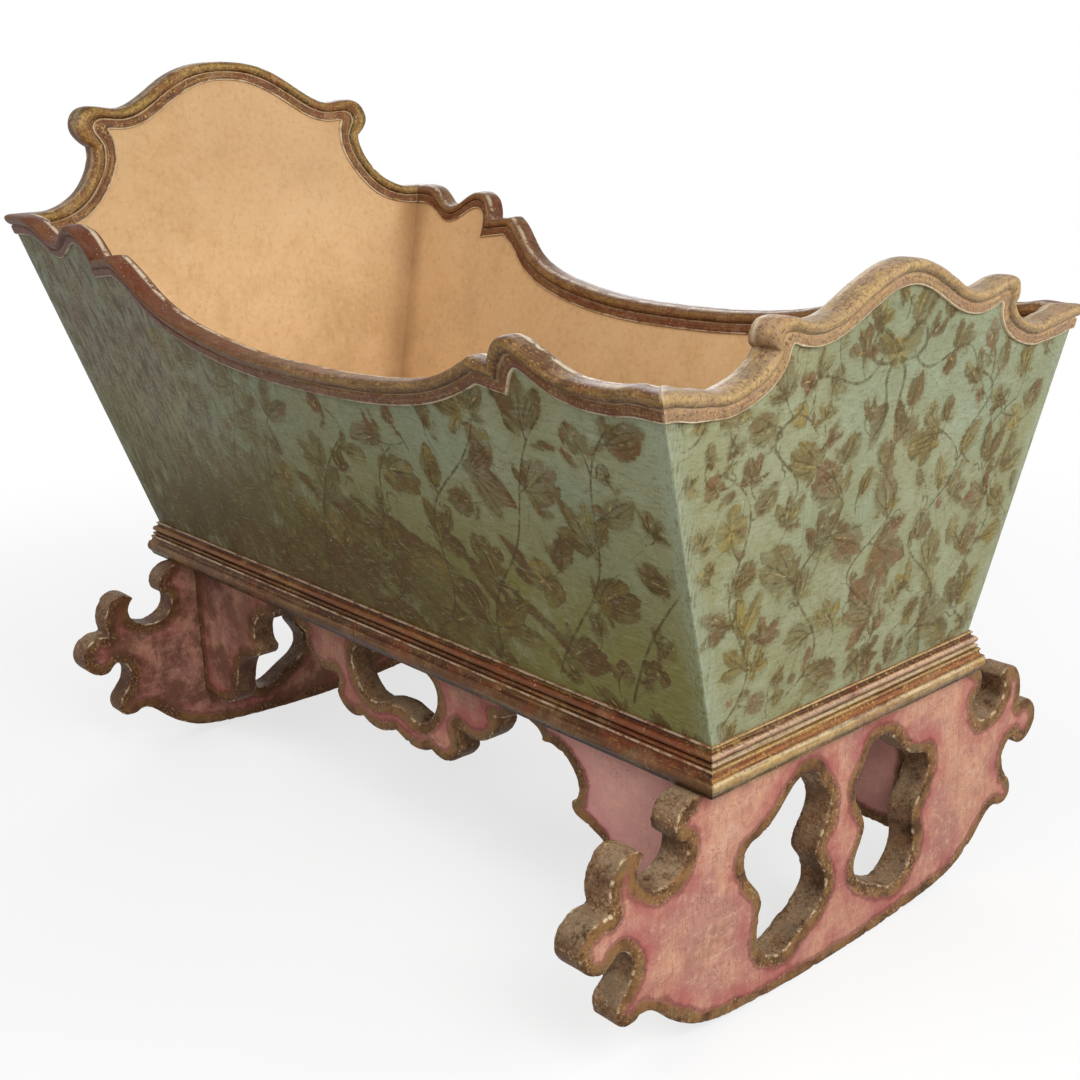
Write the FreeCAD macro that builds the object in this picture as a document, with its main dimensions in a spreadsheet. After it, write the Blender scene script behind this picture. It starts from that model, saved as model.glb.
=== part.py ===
"""Painted rocking cradle: a flared tub with moulded rims, carried by a pierced stand on two rockers.

Frame: +X from the head end to the foot end, +Z up, origin on the floor below the middle of the
overall length and width. Millimetres.
"""
import math
import os

import FreeCAD
import Part

Vector = FreeCAD.Vector

# Driving dimensions: name, value, meaning.
SIZES = (
    ("tub_length", 914, "tub at its foot, outside, head to foot"),
    ("tub_width", 362, "tub at its foot, outside, front to back"),
    ("head_lean", 9.0, "outward lean of the head board, degrees"),
    ("foot_lean", 6.2, "outward lean of the foot board, degrees"),
    ("side_lean", 17.0, "outward lean of the side boards, degrees"),
    ("board_thick", 18, "tub boards, measured level"),
    ("head_crest", 544, "top of the head rim above the tub's foot"),
    ("head_corner", 380, "top of the rim at the head corners"),
    ("foot_crest", 366, "top of the foot rim"),
    ("foot_corner", 301, "top of the rim at the foot corners"),
    ("side_sag", 261, "top of the side rims at their lowest"),
    ("rim_width", 23, "rim moulding, from its top edge to its lower border"),
    ("rim_cover", 16, "how far the rim comes down over its board"),
    ("rim_bead_proud", 5.5, "how far the rim's round stands out from the board"),
    ("rim_band_proud", 2.5, "how far the rim's flat band stands out from the board"),
    ("rim_corner_margin", 4, "level stretch of the rims beyond their mitres"),
    ("bead_height", 17, "bead moulding round the tub's foot"),
    ("bead_proud", 7, "how far that bead stands out"),
    ("plinth_height", 24, "mitred plinth frame under the tub"),
    ("plinth_width", 76, "plinth rails, outside to inside"),
    ("plinth_proud", 13, "how far the plinth stands out from the tub's foot"),
    ("stand_height", 229, "floor to the underside of the plinth"),
    ("rocker_width", 648, "rocker boards across their scrolls"),
    ("rocker_thick", 30, "rocker boards"),
    ("rocker_radius", 1500, "radius of the rockers' running edge"),
    ("rocker_run", 300, "length of that running edge"),
    ("rocker_inset_head", 27, "head rocker behind the tub's foot"),
    ("rocker_inset_foot", 3, "foot rocker behind the tub's foot"),
    ("apron_thick", 28, "pierced aprons between the rockers"),
    ("apron_inset", 10, "aprons behind the tub's foot"),
    ("apron_depth", 173, "aprons at their brackets"),
    ("tenon_length", 18, "apron tenons"),
    ("tenon_height", 60, "apron tenons"),
    ("tenon_thick", 12, "apron tenons"),
    ("tenon_drop", 35, "apron tenons below the plinth"),
    ("floor_thick", 14, "floor planks"),
    ("floor_gap", 1, "gap round and between the floor planks"),
    ("batten_width", 60, "battens under the floor planks"),
    ("batten_place", 150, "battens from the tub's middle"),
    ("rocker_dowel", 10, "diameter of the dowels in the rockers"),
    ("rocker_dowel_length", 40, "dowels in the rockers"),
    ("rocker_dowel_margin", 8, "outer dowels in the rockers, from the plinth's inner corners"),
    ("tub_dowel", 6, "diameter of the dowels in the tub's boards"),
    ("tub_dowel_length", 28, "dowels in the tub's boards"),
    ("side_dowel_margin", 157, "dowels in the side boards, from the tub's ends"),
    ("end_dowel_margin", 101, "dowels in the head and foot boards, from the tub's sides"),
    ("peg_size", 6, "diameter of the pegs through the tub's corners"),
    ("peg_length", 42, "pegs through the tub's corners"),
    ("peg_depth", 3, "pegs below the side boards' faces"),
    ("peg_first", 50, "lowest pegs above the tub's foot"),
    ("peg_spacing", 90, "pegs up each corner"),
    ("fit_clearance", 0.15, "play round tenons, dowels and pegs"),
)

PEGS_PER_CORNER = 3

doc = FreeCAD.newDocument("Cradle")
sheet = doc.addObject("Spreadsheet::Sheet", "Sizes")
for row, (alias, value, meaning) in enumerate(SIZES, start=1):
    sheet.set("A%d" % row, meaning)
    sheet.set("B%d" % row, str(value))
    sheet.setAlias("B%d" % row, alias)
doc.recompute()
size = {alias: float(sheet.get(alias)) for alias, value, meaning in SIZES}

# Levels and slopes that several pieces share.
half_length = size["tub_length"] / 2
half_width = size["tub_width"] / 2
head_slope = math.tan(math.radians(size["head_lean"]))
foot_slope = math.tan(math.radians(size["foot_lean"]))
side_slope = math.tan(math.radians(size["side_lean"]))
thick = size["board_thick"]
plinth_top = size["stand_height"] + size["plinth_height"]
tub_foot = plinth_top + size["bead_height"]
plinth_inside = size["plinth_proud"] - size["plinth_width"]
board_share = 1 - size["rim_cover"] / size["rim_width"]
corner_level = thick + size["rim_bead_proud"] + side_slope * size["rim_width"] + size["rim_corner_margin"]

# Rim section: depth from the board's outer face, and share of the way from the top edge to the
# lower border. A round bead on top, a groove, and a flat band that laps the board.
bead = size["rim_bead_proud"]
band = size["rim_band_proud"]
OUTER_RIM = (
    (-band, 1.0),
    (-band, 0.74),
    (-0.3 * band, 0.67),
    (-0.8 * bead, 0.58),
    (-bead, 0.40),
    (-0.75 * bead, 0.18),
    (-0.1 * bead, 0.04),
)
INNER_RIM = tuple((thick - depth, share) for depth, share in reversed(OUTER_RIM))
RIM_SLOT = ((thick, 1.0), (thick, board_share), (0.0, board_share), (0.0, 1.0))
RIM_SECTION = OUTER_RIM + ((thick / 2, 0.0),) + INNER_RIM + RIM_SLOT


def rim_reach(crest, slope):
    """Farthest the rim stands out from the tub's foot, at the crest of an end board."""
    heights = [(depth, crest - share * size["rim_width"]) for depth, share in RIM_SECTION]
    return max(half_length + slope * height - depth for depth, height in heights)


# The tub's middle is off the origin, because the head board leans out further than the foot board.
tub_x = (rim_reach(size["head_crest"], head_slope) - rim_reach(size["foot_crest"], foot_slope)) / 2
rocker_head_x = tub_x - half_length + size["rocker_inset_head"]
rocker_foot_x = tub_x + half_length - size["rocker_inset_foot"] - size["rocker_thick"]
stand_x = (rocker_head_x + rocker_foot_x + size["rocker_thick"]) / 2
apron_half = (rocker_foot_x - rocker_head_x - size["rocker_thick"]) / 2

# Top edges. Each point: share of the way along, share of the way up, then the way to the rim's
# lower border in rim widths, and True where the edge has a sharp corner.
HEAD_EDGE = (
    (0.000, 1.000, 0.00, -0.96, False),
    (0.125, 0.982, -0.20, -1.00, False),
    (0.236, 0.921, -0.30, -1.10, False),
    (0.341, 0.811, -0.30, -1.12, False),
    (0.428, 0.720, -0.26, -1.09, False),
    (0.513, 0.683, -0.30, -1.04, False),
    (0.607, 0.701, -0.96, -1.15, False),
    (0.675, 0.659, -1.60, -0.85, False),
    (0.698, 0.573, -1.85, -0.26, False),
    (0.681, 0.482, -1.74, 0.15, False),
    (0.641, 0.421, -1.30, 0.12, True),
    (0.644, 0.341, -1.30, -0.08, False),
    (0.685, 0.195, -1.22, -0.30, False),
    (0.752, 0.079, -1.08, -0.60, False),
    (0.835, 0.012, -0.75, -0.85, False),
)
FOOT_EDGE = (
    (0.000, 1.000, 0.00, -0.91, False),
    (0.132, 0.877, -0.17, -0.88, False),
    (0.220, 0.708, -0.13, -0.94, False),
    (0.300, 0.538, -0.04, -0.91, False),
    (0.377, 0.462, 0.04, -0.89, False),
    (0.454, 0.492, -0.09, -0.90, False),
    (0.535, 0.569, -0.57, -0.98, False),
    (0.586, 0.523, -1.00, -0.80, False),
    (0.601, 0.400, -1.09, -0.52, False),
    (0.579, 0.231, -0.74, -0.39, True),
    (0.597, 0.123, -0.74, -0.50, False),
    (0.637, 0.000, -0.66, -0.65, False),
    (0.710, -0.108, -0.60, -0.76, False),
    (0.775, -0.140, -0.40, -0.88, False),
    (0.828, -0.090, -0.15, -0.97, False),
)
SIDE_EDGE_HEAD = (
    (0.058, 0.958, 0.10, -1.00, False),
    (0.093, 0.790, 0.10, -0.87, False),
    (0.122, 0.857, 0.10, -0.90, False),
    (0.148, 0.950, 0.20, -0.87, False),
    (0.170, 0.891, -0.05, -0.87, False),
    (0.181, 0.773, -0.35, -0.92, False),
    (0.185, 0.672, -0.57, -1.00, True),
    (0.224, 0.706, -0.35, -0.95, True),
    (0.242, 0.605, -0.20, -0.95, False),
    (0.266, 0.420, -0.15, -0.95, False),
    (0.305, 0.235, 0.05, -0.97, False),
    (0.365, 0.109, 0.00, -1.00, False),
    (0.439, 0.025, 0.00, -1.00, False),
    (0.514, 0.000, 0.00, -1.00, False),
)
SIDE_EDGE_FOOT = (
    (0.593, 0.012, 0.00, -1.00, False),
    (0.683, 0.175, 0.05, -0.98, False),
    (0.742, 0.475, 0.15, -0.93, False),
    (0.771, 0.750, 0.20, -0.93, False),
    (0.796, 1.050, 0.15, -1.00, True),
    (0.819, 0.950, 0.65, -1.00, True),
    (0.825, 1.250, 0.85, -0.78, False),
    (0.843, 1.575, 0.50, -1.07, False),
    (0.860, 1.450, 0.17, -1.05, False),
    (0.878, 1.200, 0.20, -1.05, False),
    (0.899, 0.975, 0.33, -0.97, False),
    (0.929, 0.910, 0.28, -0.95, False),
    (0.955, 0.950, 0.10, -0.97, False),
)

# Half outline of a rocker, from the plinth round the scrolls to the running edge, in shares of its
# half width and of its height.
ROCKER_EDGE = (
    (0.587, 1.000, True),
    (0.636, 0.983, False),
    (0.669, 0.930, False),
    (0.669, 0.882, False),
    (0.636, 0.847, True),
    (0.630, 0.803, False),
    (0.645, 0.755, False),
    (0.679, 0.722, False),
    (0.725, 0.714, False),
    (0.769, 0.734, False),
    (0.799, 0.777, False),
    (0.802, 0.830, False),
    (0.778, 0.873, True),
    (0.809, 0.904, False),
    (0.852, 0.899, False),
    (0.883, 0.856, False),
    (0.898, 0.786, False),
    (0.893, 0.703, True),
    (0.926, 0.709, False),
    (0.967, 0.690, False),
    (0.994, 0.646, False),
    (1.000, 0.590, False),
    (0.979, 0.537, False),
    (0.941, 0.504, False),
    (0.901, 0.511, False),
    (0.870, 0.548, False),
    (0.841, 0.531, False),
    (0.823, 0.480, False),
    (0.828, 0.423, False),
    (0.858, 0.367, False),
    (0.880, 0.314, False),
    (0.873, 0.262, False),
    (0.840, 0.240, False),
    (0.799, 0.255, True),
    (0.762, 0.249, False),
    (0.725, 0.210, False),
    (0.685, 0.157, False),
    (0.636, 0.109, False),
    (0.586, 0.074, False),
    (0.525, 0.048, False),
)
ROCKER_PIERCING = (
    (0.154, 0.878),
    (0.198, 0.869),
    (0.247, 0.817),
    (0.299, 0.751),
    (0.346, 0.716),
    (0.392, 0.699),
    (0.410, 0.642),
    (0.401, 0.576),
    (0.370, 0.515),
    (0.343, 0.454),
    (0.343, 0.393),
    (0.355, 0.314),
    (0.343, 0.245),
    (0.309, 0.188),
    (0.259, 0.162),
    (0.204, 0.188),
    (0.145, 0.236),
    (0.093, 0.279),
    (0.065, 0.341),
    (0.086, 0.437),
    (0.111, 0.498),
    (0.099, 0.568),
    (0.062, 0.646),
    (0.059, 0.721),
    (0.086, 0.790),
    (0.117, 0.852),
)

# Half outline of an apron's lower edge, from its middle to a rocker, in shares of its half length
# and of its depth.
APRON_EDGE = (
    (0.000, 0.538, True),
    (0.034, 0.572, False),
    (0.073, 0.592, False),
    (0.112, 0.584, False),
    (0.146, 0.552, True),
    (0.175, 0.578, False),
    (0.214, 0.572, False),
    (0.245, 0.526, False),
    (0.261, 0.462, False),
    (0.250, 0.393, False),
    (0.260, 0.329, True),
    (0.286, 0.350, False),
    (0.318, 0.355, False),
    (0.357, 0.327, False),
    (0.388, 0.269, False),
    (0.402, 0.205, False),
    (0.396, 0.150, True),
    (0.437, 0.130, False),
    (0.493, 0.072, False),
    (0.522, 0.087, False),
    (0.551, 0.121, False),
    (0.556, 0.168, True),
    (0.590, 0.171, False),
    (0.624, 0.185, False),
    (0.653, 0.237, False),
    (0.672, 0.312, False),
    (0.673, 0.382, False),
    (0.650, 0.439, True),
    (0.658, 0.497, False),
    (0.689, 0.526, False),
    (0.726, 0.555, False),
    (0.762, 0.607, False),
    (0.786, 0.699, False),
    (0.796, 0.815, False),
    (0.808, 0.908, False),
    (0.840, 0.971, False),
    (0.888, 0.997, False),
    (0.947, 1.000, False),
    (1.000, 0.991, True),
)
APRON_PIERCING = (
    (0.000, 0.373),
    (0.039, 0.382),
    (0.078, 0.410),
    (0.112, 0.410),
    (0.143, 0.370),
    (0.165, 0.301),
    (0.178, 0.225),
    (0.175, 0.156),
    (0.150, 0.092),
    (0.102, 0.064),
    (0.050, 0.058),
)


def spline(points, steps=None):
    """An edge through points; two points make a straight one."""
    if len(points) == 2:
        return Part.makeLine(points[0], points[1])
    curve = Part.BSplineCurve()
    if steps:
        curve.interpolate(Points=points, Parameters=steps)
    else:
        curve.interpolate(Points=points)
    return curve.toShape()


def runs(sharp):
    """First and last index of each smooth run between sharp points."""
    stops = [index for index, flag in enumerate(sharp) if flag]
    return list(zip(stops[:-1], stops[1:]))


def closed_loop(points):
    """A smooth closed wire through points."""
    curve = Part.BSplineCurve()
    curve.interpolate(Points=points, PeriodicFlag=True)
    return Part.Wire(curve.toShape())


def feature(name, shape):
    """A document object that holds a shape."""
    made = doc.addObject("Part::Feature", name)
    made.Shape = shape
    return made


def between(edge, beside):
    """The face between two edges: flat where both are straight."""
    if isinstance(edge.Curve, Part.Line) and isinstance(beside.Curve, Part.Line):
        ring = [edge.valueAt(edge.FirstParameter), edge.valueAt(edge.LastParameter),
                beside.valueAt(beside.LastParameter), beside.valueAt(beside.FirstParameter)]
        return Part.Face(Part.makePolygon(ring + ring[:1]))
    return Part.makeRuledSurface(edge, beside)


def solid_of(name, faces):
    """A solid sewn from the faces that close round it."""
    shell = Part.makeShell(faces)
    shell.sewShape()
    solid = Part.makeSolid(shell)
    if solid.Volume < 0:
        solid.reverse()
    return feature(name, solid)


def prism(name, face, direction, alias):
    """A face drawn out along a direction by a size of the sheet."""
    drawn = doc.addObject("Part::Extrusion", name)
    drawn.Base = feature(name + "_face", face)
    drawn.DirMode = "Custom"
    drawn.Dir = direction
    drawn.Solid = True
    drawn.setExpression("LengthFwd", "Sizes." + alias)
    return drawn


def box(name, corner, length, width, height):
    """A box whose sizes are expressions of the sheet."""
    made = doc.addObject("Part::Box", name)
    made.setExpression("Length", length)
    made.setExpression("Width", width)
    made.setExpression("Height", height)
    made.Placement.Base = Vector(*corner)
    return made


def rod(name, base, axis, diameter, length):
    """A cylinder from a base point along an axis."""
    made = doc.addObject("Part::Cylinder", name)
    made.setExpression("Radius", "(%s) / 2" % diameter)
    made.setExpression("Height", length)
    made.Placement = FreeCAD.Placement(Vector(*base), FreeCAD.Rotation(Vector(0, 0, 1), Vector(*axis)))
    return made


def group(name, members):
    """Several separate solids that share one node."""
    made = doc.addObject("Part::Compound", name)
    made.Links = members
    return made


def cut(name, blank, tools):
    """A blank with tools taken out of it."""
    made = doc.addObject("Part::Cut", name)
    made.Base = blank
    made.Tool = tools
    return made


def joined(name, members):
    """One piece made of several shapes."""
    made = doc.addObject("Part::MultiFuse", name)
    made.Shapes = members
    return made


# Points of the four leaning boards, from a place along the board, a height above the tub's foot and
# a level depth behind the outer face.
def head_point(along, height, depth):
    return Vector(tub_x - half_length - head_slope * height + depth, along, tub_foot + height)


def foot_point(along, height, depth):
    return Vector(tub_x + half_length + foot_slope * height - depth, along, tub_foot + height)


def front_point(along, height, depth):
    return Vector(tub_x + along, -half_width - side_slope * height + depth, tub_foot + height)


def back_point(along, height, depth):
    return Vector(tub_x + along, half_width + side_slope * height - depth, tub_foot + height)


def end_corner(height, depth):
    """Half width of an end rim at its mitre."""
    return half_width + side_slope * height - depth


def head_corner(height, depth):
    """Where a side rim's mitre lies at the head."""
    return -half_length - head_slope * height + depth


def foot_corner(height, depth):
    """Where a side rim's mitre lies at the foot."""
    return half_length + foot_slope * height - depth


def lower_border(along, height, way_along, way_up):
    """The rim's lower border, given its top edge and the way down in rim widths."""
    return along + way_along * size["rim_width"], height + way_up * size["rim_width"]


def end_stations(edge, crest, corner):
    """Stations of an end board's top edge: top, lower border, sharp, and the mitre it lies on."""
    reach = end_corner(corner, 0)
    half = []
    for share, rise, way_along, way_up, sharp in edge:
        top = (share * reach, corner + rise * (crest - corner))
        half.append((top, lower_border(*top, way_along, way_up), sharp, None))
    level = (reach - corner_level, corner)
    half.append((level, lower_border(*level, 0, -1), True, None))
    half.append(((reach, corner), (reach, corner - size["rim_width"]), True, end_corner))
    mirrored = []
    for top, low, sharp, mitre in reversed(half[1:]):
        turned = (lambda height, depth: -end_corner(height, depth)) if mitre else None
        mirrored.append(((-top[0], top[1]), (-low[0], low[1]), sharp, turned))
    return mirrored + half


def side_stations():
    """Stations of a side board's top edge, from the head corner to the foot corner."""
    first = head_corner(size["head_corner"], 0)
    last = foot_corner(size["foot_corner"], 0)
    sag = size["side_sag"]
    stations = []
    for edge, corner in ((SIDE_EDGE_HEAD, size["head_corner"]), (SIDE_EDGE_FOOT, size["foot_corner"])):
        for share, rise, way_along, way_up, sharp in edge:
            top = (first + share * (last - first), sag + rise * (corner - sag))
            stations.append((top, lower_border(*top, way_along, way_up), sharp, None))
    ends = []
    for along, corner, mitre in ((first, size["head_corner"], head_corner),
                                 (last, size["foot_corner"], foot_corner)):
        level = (along + math.copysign(corner_level, -along), corner)
        low = (along, corner - size["rim_width"])
        pair = [((along, corner), low, True, mitre)]
        pair.append((level, lower_border(*level, 0, -1), True, None))
        ends.append(pair)
    return ends[0] + stations + ends[1][::-1]


def station_point(station, share, depth, place):
    """A point of the rim at one station of its edge."""
    top, low, sharp, mitre = station
    height = top[1] + share * (low[1] - top[1])
    along = mitre(height, depth) if mitre else top[0] + share * (low[0] - top[0])
    return place(along, height, depth)


def edge_steps(stations):
    """Spline parameters, spaced like the top edge."""
    steps = [0.0]
    for before, after in zip(stations, stations[1:]):
        gap = math.dist(before[0], after[0]) + math.dist(before[1], after[1])
        steps.append(steps[-1] + gap)
    return steps


def edge_curves(stations, share, depth, place):
    """Edges along the stations, one to each smooth run."""
    points = [station_point(station, share, depth, place) for station in stations]
    steps = edge_steps(stations)
    curves = []
    for first, last in runs([station[2] for station in stations]):
        curves.append(spline(points[first:last + 1], steps[first:last + 1]))
    return curves


def rim(name, stations, place):
    """A rim moulding: the rim section carried along an edge, with mitred ends."""
    rails = [edge_curves(stations, share, depth, place) for depth, share in RIM_SECTION]
    faces = []
    for rail, following in zip(rails, rails[1:] + rails[:1]):
        for edge, beside in zip(rail, following):
            faces.append(Part.makeRuledSurface(edge, beside))
    for station in (stations[0], stations[-1]):
        ring = [station_point(station, share, depth, place) for depth, share in RIM_SECTION]
        faces.append(Part.Face(Part.makePolygon(ring + ring[:1])))
    return solid_of(name, faces)


def side_board_face(stations, place):
    """Outer face of a side board, which runs past both end boards."""
    foot = -size["bead_height"]
    top = edge_curves(stations, board_share, 0.0, place)
    start = station_point(stations[0], board_share, 0.0, place)
    end = station_point(stations[-1], board_share, 0.0, place)
    low_start = place(head_corner(foot, 0), foot, 0.0)
    low_end = place(foot_corner(foot, 0), foot, 0.0)
    sides = [Part.makeLine(end, low_end), Part.makeLine(low_end, low_start), Part.makeLine(low_start, start)]
    return Part.Face(Part.Wire(top + sides))


def end_board_face(stations, place):
    """Outer face of an end board, which stands between the side boards."""
    foot = -size["bead_height"]
    inner = stations[1:-1]
    top = edge_curves(inner, board_share, 0.0, place)
    level = inner[0][0][1] + board_share * (inner[0][1][1] - inner[0][0][1])
    corners = [place(side * end_corner(height, thick), height, 0.0)
               for side, height in ((1, level), (1, foot), (-1, foot), (-1, level))]
    start = station_point(inner[0], board_share, 0.0, place)
    end = station_point(inner[-1], board_share, 0.0, place)
    ring = [end] + corners + [start]
    sides = [Part.makeLine(first, second) for first, second in zip(ring, ring[1:])]
    return Part.Face(Part.Wire(top + sides))


def quarter(centre_out, centre_down, out, down, first, last):
    """Points of a round stretch of a moulding's section, in degrees from straight out."""
    angles = [math.radians(first + (last - first) * step / 6) for step in range(7)]
    return [(centre_out + out * math.cos(a), centre_down - down * math.sin(a)) for a in angles]


def bead_section(slope):
    """Section of the bead round the tub's foot: straight and round stretches, out and down."""
    tall = size["bead_height"]
    out = size["bead_proud"]
    large = quarter(0.35 * out, -0.32 * tall, 0.65 * out, 0.28 * tall, -90, 90)
    small = quarter(0.5 * out, -0.81 * tall, 0.5 * out, 0.13 * tall, -90, 90)
    lower = [small[-1], (0.5 * out, -tall), (-slope * tall, -tall), (0.0, 0.0), (0.35 * out, 0.0), large[0]]
    return [large, [large[-1], small[0]], small, lower]


def plinth_section():
    """Section of the plinth: a fillet, a cove, a large round and a flat back."""
    tall = size["plinth_height"]
    out = size["plinth_proud"]
    cove = quarter(0.85 * out, -0.10 * tall, -0.2 * out, 0.14 * tall, 0, 90)
    large = quarter(0.55 * out, -0.62 * tall, 0.45 * out, 0.30 * tall, -70, 80)
    body = [large[-1], (0.62 * out, -tall), (plinth_inside, -tall), (plinth_inside, 0.0),
            (0.65 * out, 0.0), cove[0]]
    return [cove, [cove[-1], large[0]], large, body]


def section_edges(section, spot):
    """Edges round a moulding's section; its last stretch is straight lines."""
    edges = [spline([spot(out, down) for out, down in stretch]) for stretch in section[:-1]]
    straight = [spot(out, down) for out, down in section[-1]]
    return edges + [Part.makeLine(first, second) for first, second in zip(straight, straight[1:])]


def mitred_strip(name, section, top, turn):
    """A moulding along one side of the tub's foot. turn: 0 front, 1 foot, 2 back, 3 head."""
    rings = []
    for end in (-1, 1):
        def spot(out, down, end=end):
            reach = (half_length + out, half_width + out)
            across, along = (reach[1], reach[0]) if turn % 2 == 0 else (reach[0], reach[1])
            flat = {0: (end * along, -across), 1: (across, end * along),
                    2: (-end * along, across), 3: (-across, -end * along)}[turn]
            return Vector(tub_x + flat[0], flat[1], top + down)
        rings.append(section_edges(section, spot))
    faces = [between(edge, beside) for edge, beside in zip(*rings)]
    faces += [Part.Face(Part.Wire(ring)) for ring in rings]
    return solid_of(name, faces)


def rocker_face(x):
    """A rocker board with its two piercings, in a plane across the cradle."""
    half = size["rocker_width"] / 2
    tall = size["stand_height"]
    run = size["rocker_run"] / 2
    sag = size["rocker_radius"] - math.sqrt(size["rocker_radius"] ** 2 - run ** 2)
    edge = [(share * half, rise * tall) for share, rise, sharp in ROCKER_EDGE] + [(run, sag)]
    sharp = [flag for share, rise, flag in ROCKER_EDGE] + [True]
    edges = []
    for side in (1, -1):
        points = [Vector(x, side * along, height) for along, height in edge]
        edges += [spline(points[first:last + 1]) for first, last in runs(sharp)]
    ends = [Vector(x, side * edge[0][0], tall) for side in (1, -1)]
    edges.append(Part.makeLine(ends[0], ends[1]))
    edges.append(Part.Arc(Vector(x, run, sag), Vector(x, 0, 0), Vector(x, -run, sag)).toShape())
    wires = [Part.Wire(Part.sortEdges(edges)[0])]
    for side in (1, -1):
        wires.append(closed_loop([Vector(x, side * share * half, rise * tall) for share, rise in ROCKER_PIERCING]))
    return Part.Face(wires, "Part::FaceMakerBullseye")


def apron_face(y):
    """An apron with its pierced middle, in a plane along the cradle."""
    top = size["stand_height"]
    deep = size["apron_depth"]
    edges = []
    for side in (1, -1):
        points = [Vector(stand_x + side * share * apron_half, y, top - drop * deep) for share, drop, sharp in APRON_EDGE]
        edges += [spline(points[first:last + 1]) for first, last in runs([flag for a, b, flag in APRON_EDGE])]
        edges.append(Part.makeLine(points[-1], Vector(stand_x + side * apron_half, y, top)))
    edges.append(Part.makeLine(Vector(stand_x - apron_half, y, top), Vector(stand_x + apron_half, y, top)))
    half = [(share * apron_half, drop * deep) for share, drop in APRON_PIERCING]
    ring = half + [(-along, down) for along, down in reversed(half[1:])]
    hole = closed_loop([Vector(stand_x + along, y, top - down) for along, down in ring])
    return Part.Face([Part.Wire(Part.sortEdges(edges)[0]), hole], "Part::FaceMakerBullseye")


def dowel_group(name, places, axis, diameter, length):
    """Separate rods and the holes that they fit, which are a clearance larger."""
    rods = []
    holes = []
    for number, base in enumerate(places):
        rods.append(rod("%s_%d" % (name, number), base, axis, diameter, length))
        play = Vector(*axis) * size["fit_clearance"]
        start = Vector(*base) - play
        wide = "%s + 2 * Sizes.fit_clearance" % diameter
        long = "%s + 2 * Sizes.fit_clearance" % length
        holes.append(rod("%s_hole_%d" % (name, number), start, axis, wide, long))
    return group(name, rods), holes


# Fastenings.
rocker_middles = [rocker_head_x + size["rocker_thick"] / 2, rocker_foot_x + size["rocker_thick"] / 2]
dowel_foot = size["stand_height"] - size["rocker_dowel_length"] / 2
dowel_reach = half_width + plinth_inside - size["rocker_dowel_margin"]
rocker_spots = [(x, step * dowel_reach, dowel_foot) for x in rocker_middles for step in (-1, 0, 1)]
rocker_dowels, rocker_holes = dowel_group(
    "rocker_dowels", rocker_spots, (0, 0, 1), "Sizes.rocker_dowel", "Sizes.rocker_dowel_length")

dowel_level = size["tub_dowel_length"] / 4 - size["bead_height"]
dowel_drop = -size["bead_height"] - size["tub_dowel_length"] / 2
side_reach = half_length - size["side_dowel_margin"]
end_reach = half_width - size["end_dowel_margin"]
tub_spots = []
for place in (front_point, back_point):
    tub_spots += [place(step * side_reach, dowel_level, thick / 2) for step in (-1, 0, 1)]
for place in (head_point, foot_point):
    tub_spots += [place(step * end_reach, dowel_level, thick / 2) for step in (-1, 1)]
tub_spots = [(spot.x, spot.y, tub_foot + dowel_drop) for spot in tub_spots]
tub_dowels, tub_holes = dowel_group(
    "tub_dowels", tub_spots, (0, 0, 1), "Sizes.tub_dowel", "Sizes.tub_dowel_length")

peg_heights = [size["peg_first"] + step * size["peg_spacing"] for step in range(PEGS_PER_CORNER)]
peg_groups = []
peg_holes = []
for end, corner in (("head", head_corner), ("foot", foot_corner)):
    for side, place, inward in (("front", front_point, 1), ("back", back_point, -1)):
        low_edges = [height - size["peg_size"] / 2 for height in peg_heights]
        spots = [place(corner(height, thick / 2), low, size["peg_depth"])
                 for height, low in zip(peg_heights, low_edges)]
        spots = [(spot.x, spot.y, tub_foot + height) for spot, height in zip(spots, peg_heights)]
        pegs, holes = dowel_group(
            "pegs_%s_%s" % (end, side), spots, (0, inward, 0), "Sizes.peg_size", "Sizes.peg_length")
        peg_groups.append(pegs)
        peg_holes += holes
corner_pegs = group("corner_pegs", peg_groups)

# Tub: two end boards between two side boards, pegged at the corners.
head_edge = end_stations(HEAD_EDGE, size["head_crest"], size["head_corner"])
foot_edge = end_stations(FOOT_EDGE, size["foot_crest"], size["foot_corner"])
side_edge = side_stations()
tub_tools = group("tub_board_holes", tub_holes + peg_holes)
boards = {
    "head_board": (end_board_face(head_edge, head_point), Vector(1, 0, 0)),
    "foot_board": (end_board_face(foot_edge, foot_point), Vector(-1, 0, 0)),
    "side_board_front": (side_board_face(side_edge, front_point), Vector(0, 1, 0)),
    "side_board_back": (side_board_face(side_edge, back_point), Vector(0, -1, 0)),
}
nodes = []
for name, (face, inward) in boards.items():
    nodes.append(cut(name, prism(name + "_blank", face, inward, "board_thick"), tub_tools))

# Rims over the boards' top edges, mitred at the corners.
nodes.append(rim("rim_head", head_edge, head_point))
nodes.append(rim("rim_foot", foot_edge, foot_point))
nodes.append(rim("rim_front", side_edge, front_point))
nodes.append(rim("rim_back", side_edge, back_point))

# Bead and plinth round the tub's foot.
plinth_tools = group("plinth_holes", rocker_holes + tub_holes)
for turn, (name, slope) in enumerate((("front", side_slope), ("foot", foot_slope),
                                      ("back", side_slope), ("head", head_slope))):
    nodes.append(mitred_strip("bead_" + name, bead_section(slope), tub_foot, turn))
    rail = mitred_strip("plinth_%s_blank" % name, plinth_section(), plinth_top, turn)
    nodes.append(cut("plinth_" + name, rail, plinth_tools))

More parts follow.
